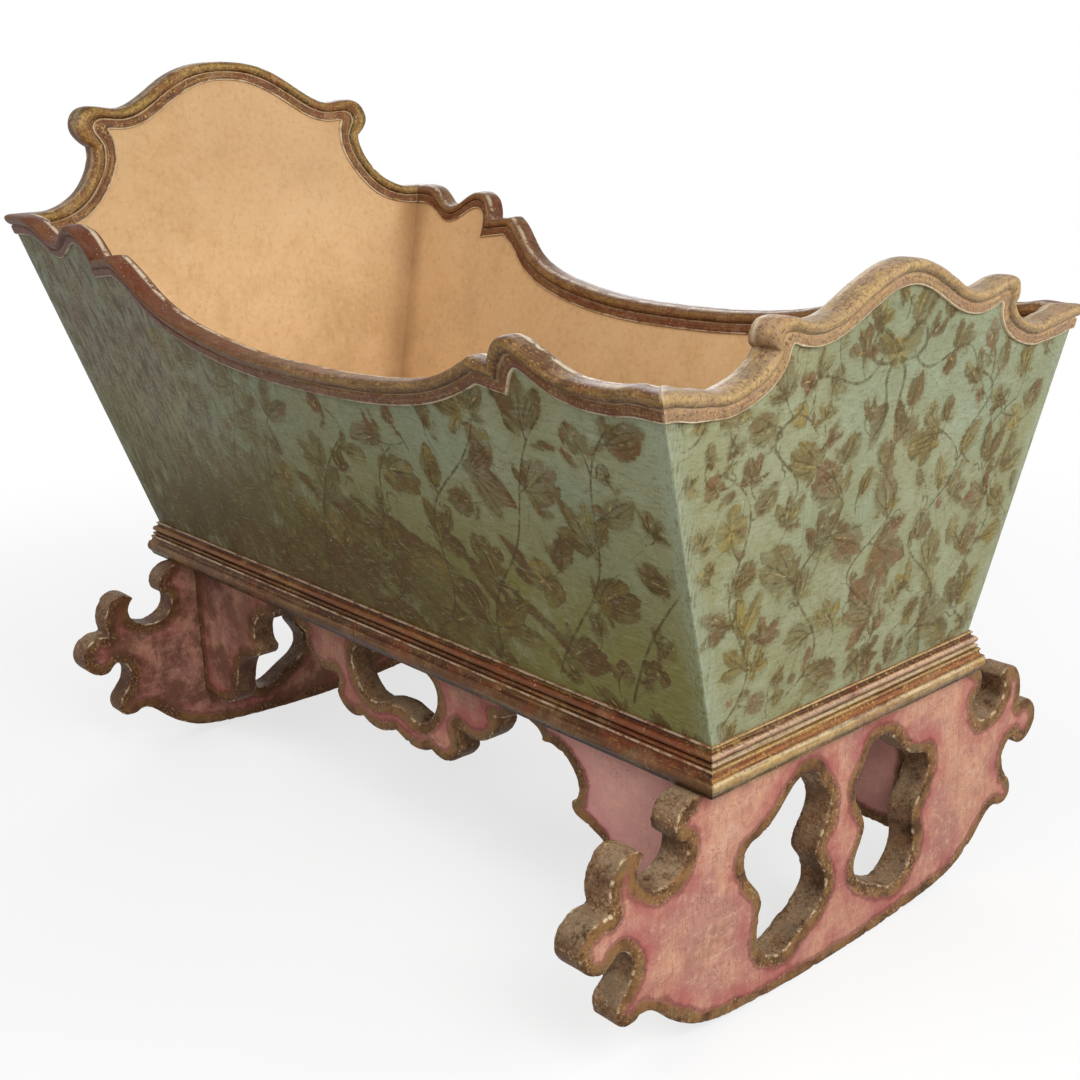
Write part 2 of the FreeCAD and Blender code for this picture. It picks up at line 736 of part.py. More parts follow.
# Floor planks on the plinth, and two battens between the long plinth rails.
floor_foot = -size["bead_height"]
floor_start = head_corner(floor_foot, thick) + size["floor_gap"]
floor_end = foot_corner(floor_foot, thick) - size["floor_gap"]
floor_half = end_corner(floor_foot, thick) - size["floor_gap"]
plank_width = (2 * floor_half - 2 * size["floor_gap"]) / 3
for number, name in enumerate(("front", "middle", "back")):
    corner = (tub_x + floor_start, number * (plank_width + size["floor_gap"]) - floor_half, plinth_top)
    plank = box("floor_plank_" + name, corner, "%.6f" % (floor_end - floor_start),
                "%.6f" % plank_width, "Sizes.floor_thick")
    nodes.append(plank)
batten_half = half_width + plinth_inside
for name, side in (("head", -1), ("foot", 1)):
    start = tub_x + side * size["batten_place"] - size["batten_width"] / 2
    nodes.append(box("floor_batten_" + name, (start, -batten_half, size["stand_height"]),
                     "Sizes.batten_width", "%.6f" % (2 * batten_half), "Sizes.plinth_height"))

# Aprons tenoned into the rockers.
tenon_top = size["stand_height"] - size["tenon_drop"]
apron_middle = half_width - size["apron_inset"] - size["apron_thick"] / 2
tenon_low = tenon_top - size["tenon_height"]
play = size["fit_clearance"]
mortises = []
for name, side in (("front", -1), ("back", 1)):
    outer = side * (half_width - size["apron_inset"])
    blank = prism("apron_%s_blank" % name, apron_face(outer), Vector(0, -side, 0), "apron_thick")
    tenons = []
    for end, x in (("head", stand_x - apron_half - size["tenon_length"]), ("foot", stand_x + apron_half)):
        label = "%s_%s" % (name, end)
        low = side * apron_middle - size["tenon_thick"] / 2
        tenons.append(box("tenon_" + label, (x, low, tenon_low), "Sizes.tenon_length",
                          "Sizes.tenon_thick", "Sizes.tenon_height"))
        mortises.append(box("mortise_" + label, (x - play, low - play, tenon_low - play),
                            "Sizes.tenon_length + 2 * Sizes.fit_clearance",
                            "Sizes.tenon_thick + 2 * Sizes.fit_clearance",
                            "Sizes.tenon_height + 2 * Sizes.fit_clearance"))
    nodes.append(joined("apron_" + name, [blank] + tenons))

rocker_tools = group("rocker_cuts", rocker_holes + mortises)
for name, x in (("head", rocker_head_x), ("foot", rocker_foot_x)):
    blank = prism("rocker_%s_blank" % name, rocker_face(x), Vector(1, 0, 0), "rocker_thick")
    nodes.append(cut("rocker_" + name, blank, rocker_tools))

nodes += [rocker_dowels, tub_dowels, corner_pegs]

doc.recompute()
for item in doc.Objects:
    if "Invalid" in item.State or "Error" in item.State:
        raise RuntimeError("%s did not recompute" % item.Name)
for node in nodes:
    node.Label = node.Name
    if node.Shape.isNull() or not node.Shape.isValid():
        raise RuntimeError("%s has no valid shape" % node.Name)

os.makedirs("parts", exist_ok=True)
for node in nodes:
    node.Shape.exportStep(os.path.join("parts", node.Label + ".step"))
    print(node.Label, len(node.Shape.Solids), round(node.Shape.Volume))
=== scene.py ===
"""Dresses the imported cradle: painted boards, gilt rims and mouldings, and a pink stand with olive borders."""
import math

import bmesh
import bpy
import numpy as np
from mathutils import Matrix, Vector
from mathutils.geometry import delaunay_2d_cdt, tessellate_polygon
from mathutils.kdtree import KDTree


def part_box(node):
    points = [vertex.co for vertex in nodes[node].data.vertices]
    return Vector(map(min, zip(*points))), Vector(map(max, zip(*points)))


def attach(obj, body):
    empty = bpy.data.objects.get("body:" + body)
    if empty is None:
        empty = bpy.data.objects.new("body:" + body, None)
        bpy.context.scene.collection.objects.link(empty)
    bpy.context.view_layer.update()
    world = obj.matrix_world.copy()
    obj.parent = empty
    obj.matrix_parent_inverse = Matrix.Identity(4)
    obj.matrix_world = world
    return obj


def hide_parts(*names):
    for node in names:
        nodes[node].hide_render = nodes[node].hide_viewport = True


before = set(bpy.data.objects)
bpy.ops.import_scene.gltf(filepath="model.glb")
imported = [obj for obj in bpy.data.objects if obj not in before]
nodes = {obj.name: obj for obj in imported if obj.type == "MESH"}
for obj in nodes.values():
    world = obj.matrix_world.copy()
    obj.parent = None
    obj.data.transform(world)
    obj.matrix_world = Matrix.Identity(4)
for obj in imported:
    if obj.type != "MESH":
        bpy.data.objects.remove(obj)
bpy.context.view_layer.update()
scene = bpy.context.scene
scene.view_settings.view_transform = "Standard"

# Sizes shared with the CAD model, in millimetres.
MM = 0.001
TUB_X = 22.972
TUB_FOOT = 270.0
HALF_LENGTH = 457.0
HALF_WIDTH = 181.0
HEAD_SLOPE = math.tan(math.radians(9.0))
FOOT_SLOPE = math.tan(math.radians(6.2))
SIDE_SLOPE = math.tan(math.radians(17.0))
BOARD = 18.0
RIM_WIDTH = 23.0
HEAD_CREST, HEAD_CORNER = 544.0, 380.0
FOOT_CREST, FOOT_CORNER = 366.0, 301.0
SIDE_SAG = 261.0
CORNER_LEVEL = BOARD + 5.5 + SIDE_SLOPE * RIM_WIDTH + 4.0
BEAD_TALL = 17.0
PLINTH_TALL, PLINTH_BACK = 24.0, -63.0

# Spacing of points on the pieces, and the tolerances for reading CAD faces, in millimetres.
BOARD_GRID = 1.8
STAND_GRID = 1.7
RIM_GRID = 1.6
BASE_GRID = 3.0
LINING_GRID = 7.0
BOARD_EDGE, STAND_EDGE = 2.4, 2.2
ON_FACE, SHORTEST = 0.03, 0.3

SHARP_ANGLE = math.radians(42)
SPRAY_LEAN = math.radians(62)
NOISE_TABLE = 4096


# Numbers

def value_noise(points, size, seed):
    """Smooth noise from -1 to 1 at points in millimetres, with lumps of about this size."""
    rng = np.random.default_rng(seed)
    table = rng.uniform(-1, 1, NOISE_TABLE)
    scaled = np.asarray(points, float) / size + 1000.0
    base = np.floor(scaled).astype(np.int64)
    part = scaled - base
    part = part * part * (3 - 2 * part)
    total = np.zeros(len(scaled))
    rim_shade_ends = scaled.shape[1]
    order = rng.permutation(NOISE_TABLE)
    for corner in range(2 ** rim_shade_ends):
        step = np.array([(corner >> axis) & 1 for axis in range(rim_shade_ends)])
        weight = np.where(step == 1, part, 1 - part).prod(axis=1)
        place = np.zeros(len(scaled), np.int64)
        for axis in range(rim_shade_ends):
            place = order[(place + base[:, axis] + step[axis]) % NOISE_TABLE]
        total += weight * table[place]
    return total


def layered_noise(points, size, seed, layers=3):
    """Noise of several sizes, from -1 to 1, each half as large and as strong as the one before."""
    total = np.zeros(len(points))
    for layer in range(layers):
        total += value_noise(points, size / 2 ** layer, seed + layer) / 2 ** layer
    return total / (2 - 0.5 ** (layers - 1))


def smooth(x, low, high):
    """0 at low, 1 at high, smooth between them."""
    t = np.clip((np.asarray(x, float) - low) / (high - low), 0, 1)
    return t * t * (3 - 2 * t)


def end_slope(points, steps):
    """Slope at the first of the points, from a polynomial through them."""
    slope = np.zeros(points.shape[1])
    for k in range(len(steps)):
        others = [steps[j] for j in range(len(steps)) if j != k]
        bottom = math.prod(steps[k] - s for s in others)
        top = sum(math.prod(steps[0] - s for s in others[:skip] + others[skip + 1:])
                  for skip in range(len(others)))
        slope += points[k] * top / bottom
    return slope


def spline(points, steps, at):
    """Points at the parameters of a smooth curve through points."""
    points, steps = np.asarray(points, float), np.asarray(steps, float)
    if len(points) == 2:
        share = ((at - steps[0]) / (steps[1] - steps[0]))[:, None]
        return points[0] + share * (points[1] - points[0])
    gap = np.diff(steps)
    rows = len(points)
    left, right = np.eye(rows), np.zeros((rows, points.shape[1]))
    right[0] = end_slope(points[:4], steps[:4])
    right[-1] = end_slope(points[:-5:-1], steps[:-5:-1])
    for i in range(1, rows - 1):
        before, after = 1 / gap[i - 1], 1 / gap[i]
        left[i, i - 1:i + 2] = before, 2 * (before + after), after
        right[i] = 3 * ((points[i] - points[i - 1]) * before ** 2 + (points[i + 1] - points[i]) * after ** 2)
    slopes = np.linalg.solve(left, right)
    i = np.clip(np.searchsorted(steps, at, side="right") - 1, 0, rows - 2)
    h = gap[i][:, None]
    t = ((at - steps[i]) / gap[i])[:, None]
    return ((1 + 2 * t) * (1 - t) ** 2 * points[i] + t * (1 - t) ** 2 * h * slopes[i]
            + t * t * (3 - 2 * t) * points[i + 1] - t * t * (1 - t) * h * slopes[i + 1])


def travelled(*lines):
    """The way along a line of points up to each of them, or along several lines together."""
    steps = sum(np.linalg.norm(np.diff(line, axis=0), axis=1) for line in lines)
    return np.concatenate([[0], np.cumsum(steps)])


# Meshes

def outward(mesh):
    """Turns every face of a closed mesh to the outside."""
    made = bmesh.new()
    made.from_mesh(mesh)
    bmesh.ops.recalc_face_normals(made, faces=made.faces)
    made.to_mesh(mesh)
    made.free()


def placed(name, data):
    """A new object in the scene."""
    made = bpy.data.objects.new(name, data)
    scene.collection.objects.link(made)
    return made


def piece(name, verts, faces, looks, node, numbers=None, indices=None):
    """A mesh object in the row frame that stands for a CAD node. verts are in millimetres."""
    mesh = bpy.data.meshes.new(name)
    mesh.from_pydata(np.asarray(verts) * MM, [], faces)
    for look in looks:
        mesh.materials.append(look)
    if indices is not None:
        mesh.polygons.foreach_set("material_index", np.asarray(indices, np.int32))
    for key, values in (numbers or {}).items():
        layer = mesh.attributes.new(key, "FLOAT", "POINT")
        layer.data.foreach_set("value", np.asarray(values, np.float32))
    outward(mesh)
    mesh.shade_smooth()
    mesh.set_sharp_from_angle(angle=SHARP_ANGLE)
    made = placed(name, mesh)
    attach(made, "root")
    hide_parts(node)


def sweep(rings):
    """Quads along rings of points, with a face at each end. rings: stations x section x 3."""
    stations, section = rings.shape[:2]
    index = np.arange(stations * section).reshape(stations, section)
    after = np.roll(index, -1, axis=1)
    quads = np.stack([index[:-1], after[:-1], after[1:], index[1:]], axis=-1).reshape(-1, 4)
    faces = quads.tolist() + [index[0, ::-1].tolist(), index[-1].tolist()]
    return rings.reshape(-1, 3), faces


def belt(ring, first, second):
    """Quads between two loops of points, numbered from first and from second."""
    after = np.roll(ring, -1)
    return np.stack([ring + first, ring + second, after + second, after + first], axis=1)


def read(items, key, width, kind=float):
    """The numbers that a mesh's items hold under a key, with a row for each item."""
    values = np.empty(len(items) * width, kind)
    items.foreach_get(key, values)
    return values.reshape(-1, width)


def nearest(points, others):
    """How far each flat point is from the nearest of the others."""
    tree = KDTree(len(others))
    for number, (a, b) in enumerate(others):
        tree.insert((a, b, 0), number)
    tree.balance()
    return np.array([tree.find((a, b, 0))[2] for a, b in points])


def outlines(node, depth):
    """Loops round the flat face of a CAD node on which depth(points) is zero, in millimetres."""
    mesh = nodes[node].data
    mesh.calc_loop_triangles()
    spots = np.round(read(mesh.vertices, "co", 3) / MM, 3)
    places, where = np.unique(spots, axis=0, return_inverse=True)
    flat = np.abs(depth(places)) < ON_FACE
    faces = where.reshape(-1)[read(mesh.loop_triangles, "vertices", 3, np.int32)]
    faces = faces[flat[faces].all(axis=1)]
    edges = np.concatenate([faces[:, [0, 1]], faces[:, [1, 2]], faces[:, [2, 0]]])
    known = set(map(tuple, edges.tolist()))
    onward = {a: b for a, b in known if (b, a) not in known and a != b}
    loops = []
    while onward:
        first, here = onward.popitem()
        loop = [first]
        while here != first:
            loop.append(here)
            here = onward.pop(here)
        loops.append(places[loop])
    return sorted(loops, key=len, reverse=True)


def divided(a, b, longest):
    """Points from a towards b, without b, no further apart than longest."""
    a, b = np.asarray(a, float), np.asarray(b, float)
    steps = max(1, int(np.ceil(math.dist(a, b) / longest)))
    return [a + (b - a) * step / steps for step in range(steps)]


def resampled(loop, longest):
    """A flat loop with its long edges divided, turned anticlockwise."""
    area = np.sum(loop[:, 0] * np.roll(loop[:, 1], -1) - np.roll(loop[:, 0], -1) * loop[:, 1])
    loop = loop if area > 0 else loop[::-1]
    points = []
    for a, b in zip(loop, np.roll(loop, -1, axis=0)):
        if math.dist(a, b) >= SHORTEST:
            points += divided(a, b, longest)
    return np.array(points)


def inset(loop, width):
    """An anticlockwise loop moved inwards."""
    before = loop - np.roll(loop, 1, axis=0)
    after = np.roll(loop, -1, axis=0) - loop
    before /= np.linalg.norm(before, axis=1)[:, None]
    after /= np.linalg.norm(after, axis=1)[:, None]
    first = np.stack([-before[:, 1], before[:, 0]], axis=1)
    second = np.stack([-after[:, 1], after[:, 0]], axis=1)
    middle = first + second
    middle /= np.maximum(np.linalg.norm(middle, axis=1)[:, None], 1e-6)
    reach = np.maximum((middle * first).sum(axis=1), 0.4)[:, None]
    return loop + middle * width / reach


def filled(loop, spacing):
    """Points and triangles that fill a loop, with the loop's points first."""
    low, high = loop.min(axis=0), loop.max(axis=0)
    across = np.arange(low[0] + spacing / 2, high[0], spacing)
    up = np.arange(low[1] + spacing / 2, high[1], spacing * 0.87)
    u, v = np.meshgrid(across, up)
    u = u + (np.arange(len(up)) % 2)[:, None] * spacing / 2
    grid = np.stack([u.ravel(), v.ravel()], axis=1)
    points = np.concatenate([loop, grid[nearest(grid, loop) > spacing * 0.6]])
    ring = list(range(len(loop)))
    edges = list(zip(ring, ring[1:] + ring[:1]))
    made = delaunay_2d_cdt([Vector(p) for p in points], edges, [ring], 1, 1e-7)
    places = np.array([(p.x, p.y) for p in made[0]])
    faces = np.array([f for f in made[2] if len(f) == 3])
    used = np.unique(np.concatenate([np.arange(len(loop)), faces.ravel()]))
    renumber = np.full(len(places), -1)
    renumber[used] = np.arange(len(used))
    return places[used], renumber[faces]


# Node trees

def tint(shade):
    """A linear colour from screen values of 0 to 255."""
    return tuple(((c / 255 + 0.055) / 1.055) ** 2.4 for c in shade) + (1.0,)


class Nodes:
    """Short calls for the nodes of one tree."""

    def __init__(self, tree):
        self.tree = tree

    def new(self, kind, **settings):
        node = self.tree.nodes.new("ShaderNode" + kind)
        for key, value in settings.items():
            setattr(node, key, value)
        return node

    def feed(self, socket, value):
        if isinstance(value, bpy.types.NodeSocket):
            self.tree.links.new(value, socket)
        else:
            socket.default_value = value

    def math(self, operation, first, second):
        node = self.new("Math", operation=operation)
        self.feed(node.inputs[0], first)
        self.feed(node.inputs[1], second)
        return node.outputs[0]

    def add(self, first, second):
        return self.math("ADD", first, second)

    def times(self, first, second):
        return self.math("MULTIPLY", first, second)

    def lift(self, value, reach, base):
        """A value times its reach, on a base."""
        return self.add(self.times(value, reach), base)

    def plain_ray(self):
        """1 on the rays that meet a plain white background."""
        path = self.new("LightPath")
        rays = [path.outputs["Is %s Ray" % kind] for kind in ("Camera", "Glossy", "Transmission")]
        return self.math("MAXIMUM", rays[0], self.math("MAXIMUM", rays[1], rays[2]))


class Look(Nodes):
    """A material and short calls for its colours and patterns."""

    def __init__(self, name):
        self.material = bpy.data.materials.new(name)
        self.material.use_nodes = True
        super().__init__(self.material.node_tree)
        self.shader = self.tree.nodes["Principled BSDF"]
        self.place = self.new("TexCoord").outputs["Object"]

    def total(self, *parts):
        """The sum of values times their weights."""
        terms = [value if weight == 1 else self.times(value, weight) for value, weight in parts]
        result = terms[0]
        for term in terms[1:]:
            result = self.add(result, term)
        return result

    def swing(self, value, reach):
        """A value of 0 to 1 turned into one of -reach / 2 to reach / 2."""
        return self.times(self.add(value, -0.5), reach)

    def step(self, value, low, high):
        """0 below low, 1 above high, smooth between; low above high turns it round."""
        node = self.new("MapRange", interpolation_type="SMOOTHSTEP")
        turned = low > high
        ends = (min(low, high), max(low, high), float(turned), float(not turned))
        for socket, item in zip(node.inputs, (value, *ends)):
            self.feed(socket, item)
        return node.outputs[0]

    def stretched(self, x, y, z, turn=0.0):
        node = self.new("Mapping")
        node.inputs["Rotation"].default_value = (0, turn, 0)
        self.feed(node.inputs["Vector"], self.place)
        node.inputs["Scale"].default_value = (x, y, z)
        return node.outputs[0]

    def noise(self, scale, detail=3.0, rough=0.55, at=None, twist=0.0):
        node = self.new("TexNoise")
        self.feed(node.inputs["Vector"], at or self.place)
        for key, value in (("Scale", scale), ("Detail", detail), ("Roughness", rough), ("Distortion", twist)):
            node.inputs[key].default_value = value
        return node.outputs["Fac"]

    def patches(self, low, high, *noise):
        """1 where noise is above high, 0 where it is below low."""
        return self.step(self.noise(*noise), low, high)

    def drag(self, x, y, z, detail=5.0, rough=0.7, turn=0.0):
        """Brush or grain lines: noise drawn out along an axis of low scale."""
        return self.noise(1, detail, rough, self.stretched(x, y, z, turn))

    def cells(self, scale, feature="F1", at=None):
        node = self.new("TexVoronoi", feature=feature)
        self.feed(node.inputs["Vector"], at or self.place)
        node.inputs["Scale"].default_value = scale
        return node.outputs["Distance"]

    def flecks(self, scale, outer, inner, patch, low, high):
        """Small spots, gathered in patches."""
        return self.times(self.step(self.cells(scale), outer, inner), self.patches(low, high, patch))

    def grain(self, first, second, along, across):
        """A place made of two attributes, for marks that follow a shape."""
        node = self.new("CombineXYZ")
        self.feed(node.inputs[0], self.times(self.attribute(first), along))
        self.feed(node.inputs[1], self.times(self.attribute(second), across))
        return node.outputs[0]

    def facing_up(self):
        """How far the surface faces up, from -1 to 1."""
        node = self.new("SeparateXYZ")
        self.feed(node.inputs[0], self.new("NewGeometry").outputs["Normal"])
        return node.outputs[2]

    def attribute(self, name):
        return self.new("Attribute", attribute_name=name).outputs["Fac"]

    def mix(self, first, second, share):
        node = self.new("Mix", data_type="RGBA")
        self.feed(node.inputs["Factor"], share)
        self.feed(node.inputs[6], first)
        self.feed(node.inputs[7], second)
        return node.outputs[2]

    def over(self, colour, shade, mask, amount):
        """A shade, in screen values, laid over a colour where a mask is 1."""
        return self.mix(colour, tint(shade), self.times(mask, amount))

    def coats(self, colour, *rows):
        """Shades laid over a colour in turn. rows: shade, value, low and high of its step, amount."""
        for shade, value, low, high, amount in rows:
            colour = self.over(colour, shade, self.step(value, low, high), amount)
        return colour

    def ramp(self, value, *stops):
        """A colour for a value. stops: (place, shade in screen values)."""
        node = self.new("ValToRGB")
        points = node.color_ramp.elements
        while len(points) < len(stops):
            points.new(0.5)
        for point, (place, shade) in zip(points, stops):
            point.position = place
            point.color = tint(shade)
        self.feed(node.inputs[0], value)
        return node.outputs[0]

    def finish(self, colour, rough, height=None, depth=0.0, specular=0.5):
        inputs = self.shader.inputs
        self.feed(inputs["Base Color"], colour)
        self.feed(inputs["Roughness"], rough)
        inputs["Specular IOR Level"].default_value = specular
        if height is not None:
            node = self.new("Bump")
            node.inputs["Strength"].default_value = 1.0
            node.inputs["Distance"].default_value = depth
            self.feed(node.inputs["Height"], height)
            self.feed(inputs["Normal"], node.outputs[0])
        return self.material


# Looks

def worn_green():
    """Old sage paint with brush marks, brown leaves over it, glaze, chips and fine cracks."""
    look = Look("sage_paint")
    press, glaze, umber, mauve = map(look.attribute, ("press", "glaze", "umber", "mauve"))
    inside, arris = map(look.attribute, ("leaf", "arris"))
    cloud, lumps = look.noise(7, 4, 0.6), look.noise(38, 4, 0.6)
    mid, fine = look.noise(105, 4, 0.65), look.noise(420, 3, 0.6)
    level, plumb = look.drag(26, 26, 640), look.drag(560, 560, 24)
    slant = look.drag(150, 150, 15, rough=0.65, turn=math.radians(24))
    ground = look.ramp(look.total((cloud, 0.5), (lumps, 0.5)), (0.36, (136, 137, 104)),
                       (0.46, (150, 151, 118)), (0.54, (156, 160, 130)), (0.64, (164, 170, 144)))
    ground = look.coats(
        ground, ((138, 154, 134), look.noise(4.5, 3), 0.46, 0.60, 0.45),
        ((178, 180, 153), level, 0.54, 0.68, 0.42), ((116, 116, 86), plumb, 0.54, 0.70, 0.30),
        ((112, 108, 78), look.total((fine, 1), (level, 0.4)), 0.72, 0.90, 0.42),
        ((138, 126, 119), look.total((slant, 1), (cloud, 0.6)), 0.62, 0.90, mauve),
        ((93, 84, 76), slant, 0.48, 0.64, mauve))
    deep = look.step(look.total((look.noise(15, 4, 0.65), 1), (cloud, 1), (slant, 0.7)), 1.02, 1.36)
    ground = look.over(ground, (126, 119, 64), glaze, look.lift(deep, 0.75, 0.20))
    ground = look.over(ground, (82, 64, 33), umber, look.lift(deep, 0.70, 0.22))
    halo = look.times(look.times(look.step(lumps, 0.38, 0.60), 0.55), press)
    strokes = look.noise(1.0, 4, 0.7, look.grain("along", "across", 1.0, 1.0))
    ragged = look.add(look.swing(mid, 5.0), look.swing(fine, 3.5))
    leaf = look.total((inside, 1), (ragged, 1), (look.swing(look.noise(70, 3, 0.6), 13.0), 1))
    tone = look.total((look.attribute("tone"), 0.55), (strokes, 0.85), (look.noise(48, 4, 0.65), 0.85),
                      (-0.65, 1))
    body = look.ramp(tone, (0.10, (154, 134, 72)), (0.28, (130, 110, 56)), (0.42, (102, 84, 44)),
                     (0.56, (108, 80, 48)), (0.72, (124, 82, 54)), (0.92, (134, 76, 56)))
    flank = look.total((look.attribute("flank"), 0.5), (strokes, 0.7))
    broken = look.times(look.step(mid, 0.46, 0.58), 0.65)
    body = look.coats(body, ((76, 60, 33), flank, 0.28, 0.78, 0.62), ((66, 50, 30), leaf, 2.4, 0.0, broken),
                      ((164, 142, 84), strokes, 0.44, 0.33, 0.40))
    body = look.over(body, (74, 55, 27), glaze, 0.48)
    ground = look.coats(ground, ((124, 116, 76), inside, -7.5, 1.0, halo))
    thick = look.lift(look.patches(0.40, 0.58, 26, 4, 0.65), 0.46, 0.50)
    cover = look.times(look.times(look.step(leaf, -1.6, 2.0), thick), press)
    colour = look.mix(ground, body, cover)
    stem = look.times(look.step(look.total((look.attribute("line"), 1), (ragged, 0.14)), -0.60, 0.60), press)
    stem = look.times(stem, look.lift(look.step(mid, 0.38, 0.56), 0.55, 0.45))
    colour = look.over(colour, (78, 63, 36), stem, 0.84)
    lite = look.times(look.step(look.total((look.attribute("lite"), 1), (ragged, 0.16)), -0.30, 0.60), press)
    colour = look.over(colour, (184, 160, 100), look.times(lite, look.patches(0.40, 0.56, 150, 3)), 0.70)
    weave = look.drag(90, 90, 420, detail=3)
    crack = look.step(look.cells(62, "DISTANCE_TO_EDGE", look.stretched(1, 1, 0.45)), 0.020, 0.006)
    crack = look.times(crack, look.patches(0.50, 0.60, 16, 2))
    chips = look.flecks(170, 0.13, 0.08, 31, 0.56, 0.63)
    band, scratch = look.step(plumb, 0.60, 0.44), look.step(plumb, 0.56, 0.66)
    colour = look.coats(
        colour, ((84, 76, 48), weave, 0.53, 0.68, 0.34), ((182, 184, 156), weave, 0.45, 0.32, 0.22),
        ((156, 168, 148), look.add(arris, look.swing(lumps, 26)), 22, 4, look.times(band, 0.46)),
        ((170, 180, 158), look.add(arris, look.swing(mid, 14)), 2.4, 0.0, 0.34),
        ((92, 88, 62), look.add(arris, look.swing(lumps, 20)), 16, 3, look.times(scratch, 0.50)))
    colour = look.over(colour, (78, 66, 44), crack, 0.25)
    colour = look.over(colour, (74, 60, 38), look.flecks(260, 0.18, 0.10, 48, 0.54, 0.62), 0.50)
    colour = look.over(colour, (206, 196, 160), chips, 0.70)
    rough = look.total((lumps, 0.15), (fine, 0.15), (0.38, 1))
    height = look.total((level, 0.7), (plumb, 0.7), (cover, 0.35), (stem, 0.35), (fine, 0.35), (crack, -0.6),
                        (chips, -0.6))
    return look.finish(colour, rough, height, 0.00038, 0.07)


def buff_lining():
    """The tub's tan inside: rubbed paint with clouds, fine grain, stains, pale scuffs and painted shade."""
    look = Look("buff_lining")
    cloud, lumps = look.noise(6, 4, 0.6), look.noise(30, 4, 0.6)
    fine, mottle = look.noise(520, 3, 0.6), look.noise(150, 4, 0.7)
    level, plumb = look.drag(14, 14, 420, rough=0.6), look.drag(380, 380, 18, rough=0.6)
    colour = look.ramp(look.total((cloud, 0.6), (lumps, 0.4)),
                       (0.30, (200, 160, 111)), (0.48, (219, 181, 133)), (0.70, (229, 194, 148)))
    stain = look.total((look.noise(7, 5, 0.65), 1), (fine, 0.10))
    colour = look.coats(
        colour, ((236, 203, 158), level, 0.58, 0.78, 0.35), ((168, 122, 74), plumb, 0.58, 0.76, 0.30),
        ((156, 112, 68), fine, 0.62, 0.80, 0.45), ((176, 134, 88), mottle, 0.52, 0.66, 0.26),
        ((232, 202, 160), mottle, 0.47, 0.34, 0.24), ((146, 126, 84), stain, 0.58, 0.76, 0.22))
    # Painted shade: darker near the inner corners, at the bottom, towards the top, and on the back board
    # towards the head.
    colour = look.over(colour, (134, 92, 53), look.attribute("lining_shade"), look.lift(lumps, 0.7, 0.30))
    colour = look.over(colour, (112, 84, 54), look.flecks(140, 0.13, 0.07, 20, 0.57, 0.66), 0.24)
    colour = look.over(colour, (240, 219, 184), look.flecks(105, 0.10, 0.05, 27, 0.58, 0.64), 0.80)
    rough = look.total((lumps, 0.12), (fine, 0.12), (0.46, 1))
    height = look.total((level, 0.5), (plumb, 0.5), (fine, 0.4), (lumps, 0.4))
    return look.finish(colour, rough, height, 0.00030, 0.10)


def worn_gilt(name, bands, wear, lines=None):
    """Brown gilding over red ground: bands across the moulding, streaks along it, grit, gesso chips, painted
    shade and highlights.
    """
    look = Look(name)
    cloud, lumps = look.noise(11, 4, 0.6), look.noise(85, 4, 0.65)
    fine, grit = look.noise(620, 4, 0.65), look.noise(360, 4, 0.75)
    if lines:
        broad, narrow = (look.stretched(*[k * share for k in lines]) for share in (0.35, 1.0))
    else:
        broad, narrow = look.grain("run", "share", 0.022, 8.0), look.grain("run", "share", 0.045, 18.0)
    drawn, scored = look.noise(1, 5, 0.65, broad), look.noise(1, 4, 0.65, narrow)
    rim_shade = look.attribute("rim_shade")
    colour = look.ramp(look.add(look.attribute("share"), look.swing(lumps, 0.05)), *bands)
    colour = look.coats(
        colour, ((182, 146, 70), look.total((drawn, 1), (cloud, 0.5)), 0.76, 0.90, 0.45 * wear),
        ((50, 30, 17), look.total((drawn, 1), (lumps, 0.6)), 0.74, 0.60, 0.60 * wear),
        ((128, 62, 38), look.noise(23, 4, 0.6), 0.52, 0.62, 0.42),
        ((178, 146, 108), look.noise(33, 4, 0.65), 0.53, 0.66, 0.40 * wear),
        ((48, 29, 17), scored, 0.53, 0.63, 0.50 * wear), ((202, 168, 104), scored, 0.43, 0.35, 0.42 * wear))
    # Painted shade where the rims' shade number is above 0, painted light where it is below 0.
    colour = look.over(look.over(colour, (96, 46, 26), rim_shade, 1.0), (206, 176, 138), rim_shade, -1.0)
    glint = look.times(look.step(lumps, 0.42, 0.54), look.step(rim_shade, 0.95, 0.10))
    rubbed = look.total((look.noise(60, 5, 0.7), 1), (grit, 0.5))
    # The last coat is pale rubbed gilt and painted highlights: the groove lip, the inner crest and the long
    # strips' top fillet.
    colour = look.coats(
        colour, ((44, 27, 16), grit, 0.53, 0.62, 0.62 * wear),
        ((206, 172, 98), grit, 0.46, 0.37, look.times(glint, 0.62 * wear)),
        ((228, 210, 180), rubbed, 0.65, 0.78, look.times(look.attribute("rub_and_highlight"), 0.88)))
    chips = look.step(look.total((look.cells(260), 1), (fine, 0.10)), 0.22, 0.14)
    chips = look.times(chips, look.patches(0.55, 0.62, 42, 3))
    colour = look.over(colour, (226, 208, 172), chips, 0.85)
    rough = look.total((lumps, 0.17), (fine, 0.17), (0.18, 1))
    height = look.total((fine, 0.5), (drawn, 0.7 * wear), (scored, 0.5 * wear), (chips, -0.8), (lumps, 0.6))
    return look.finish(colour, rough, height, 0.00045, 0.09)


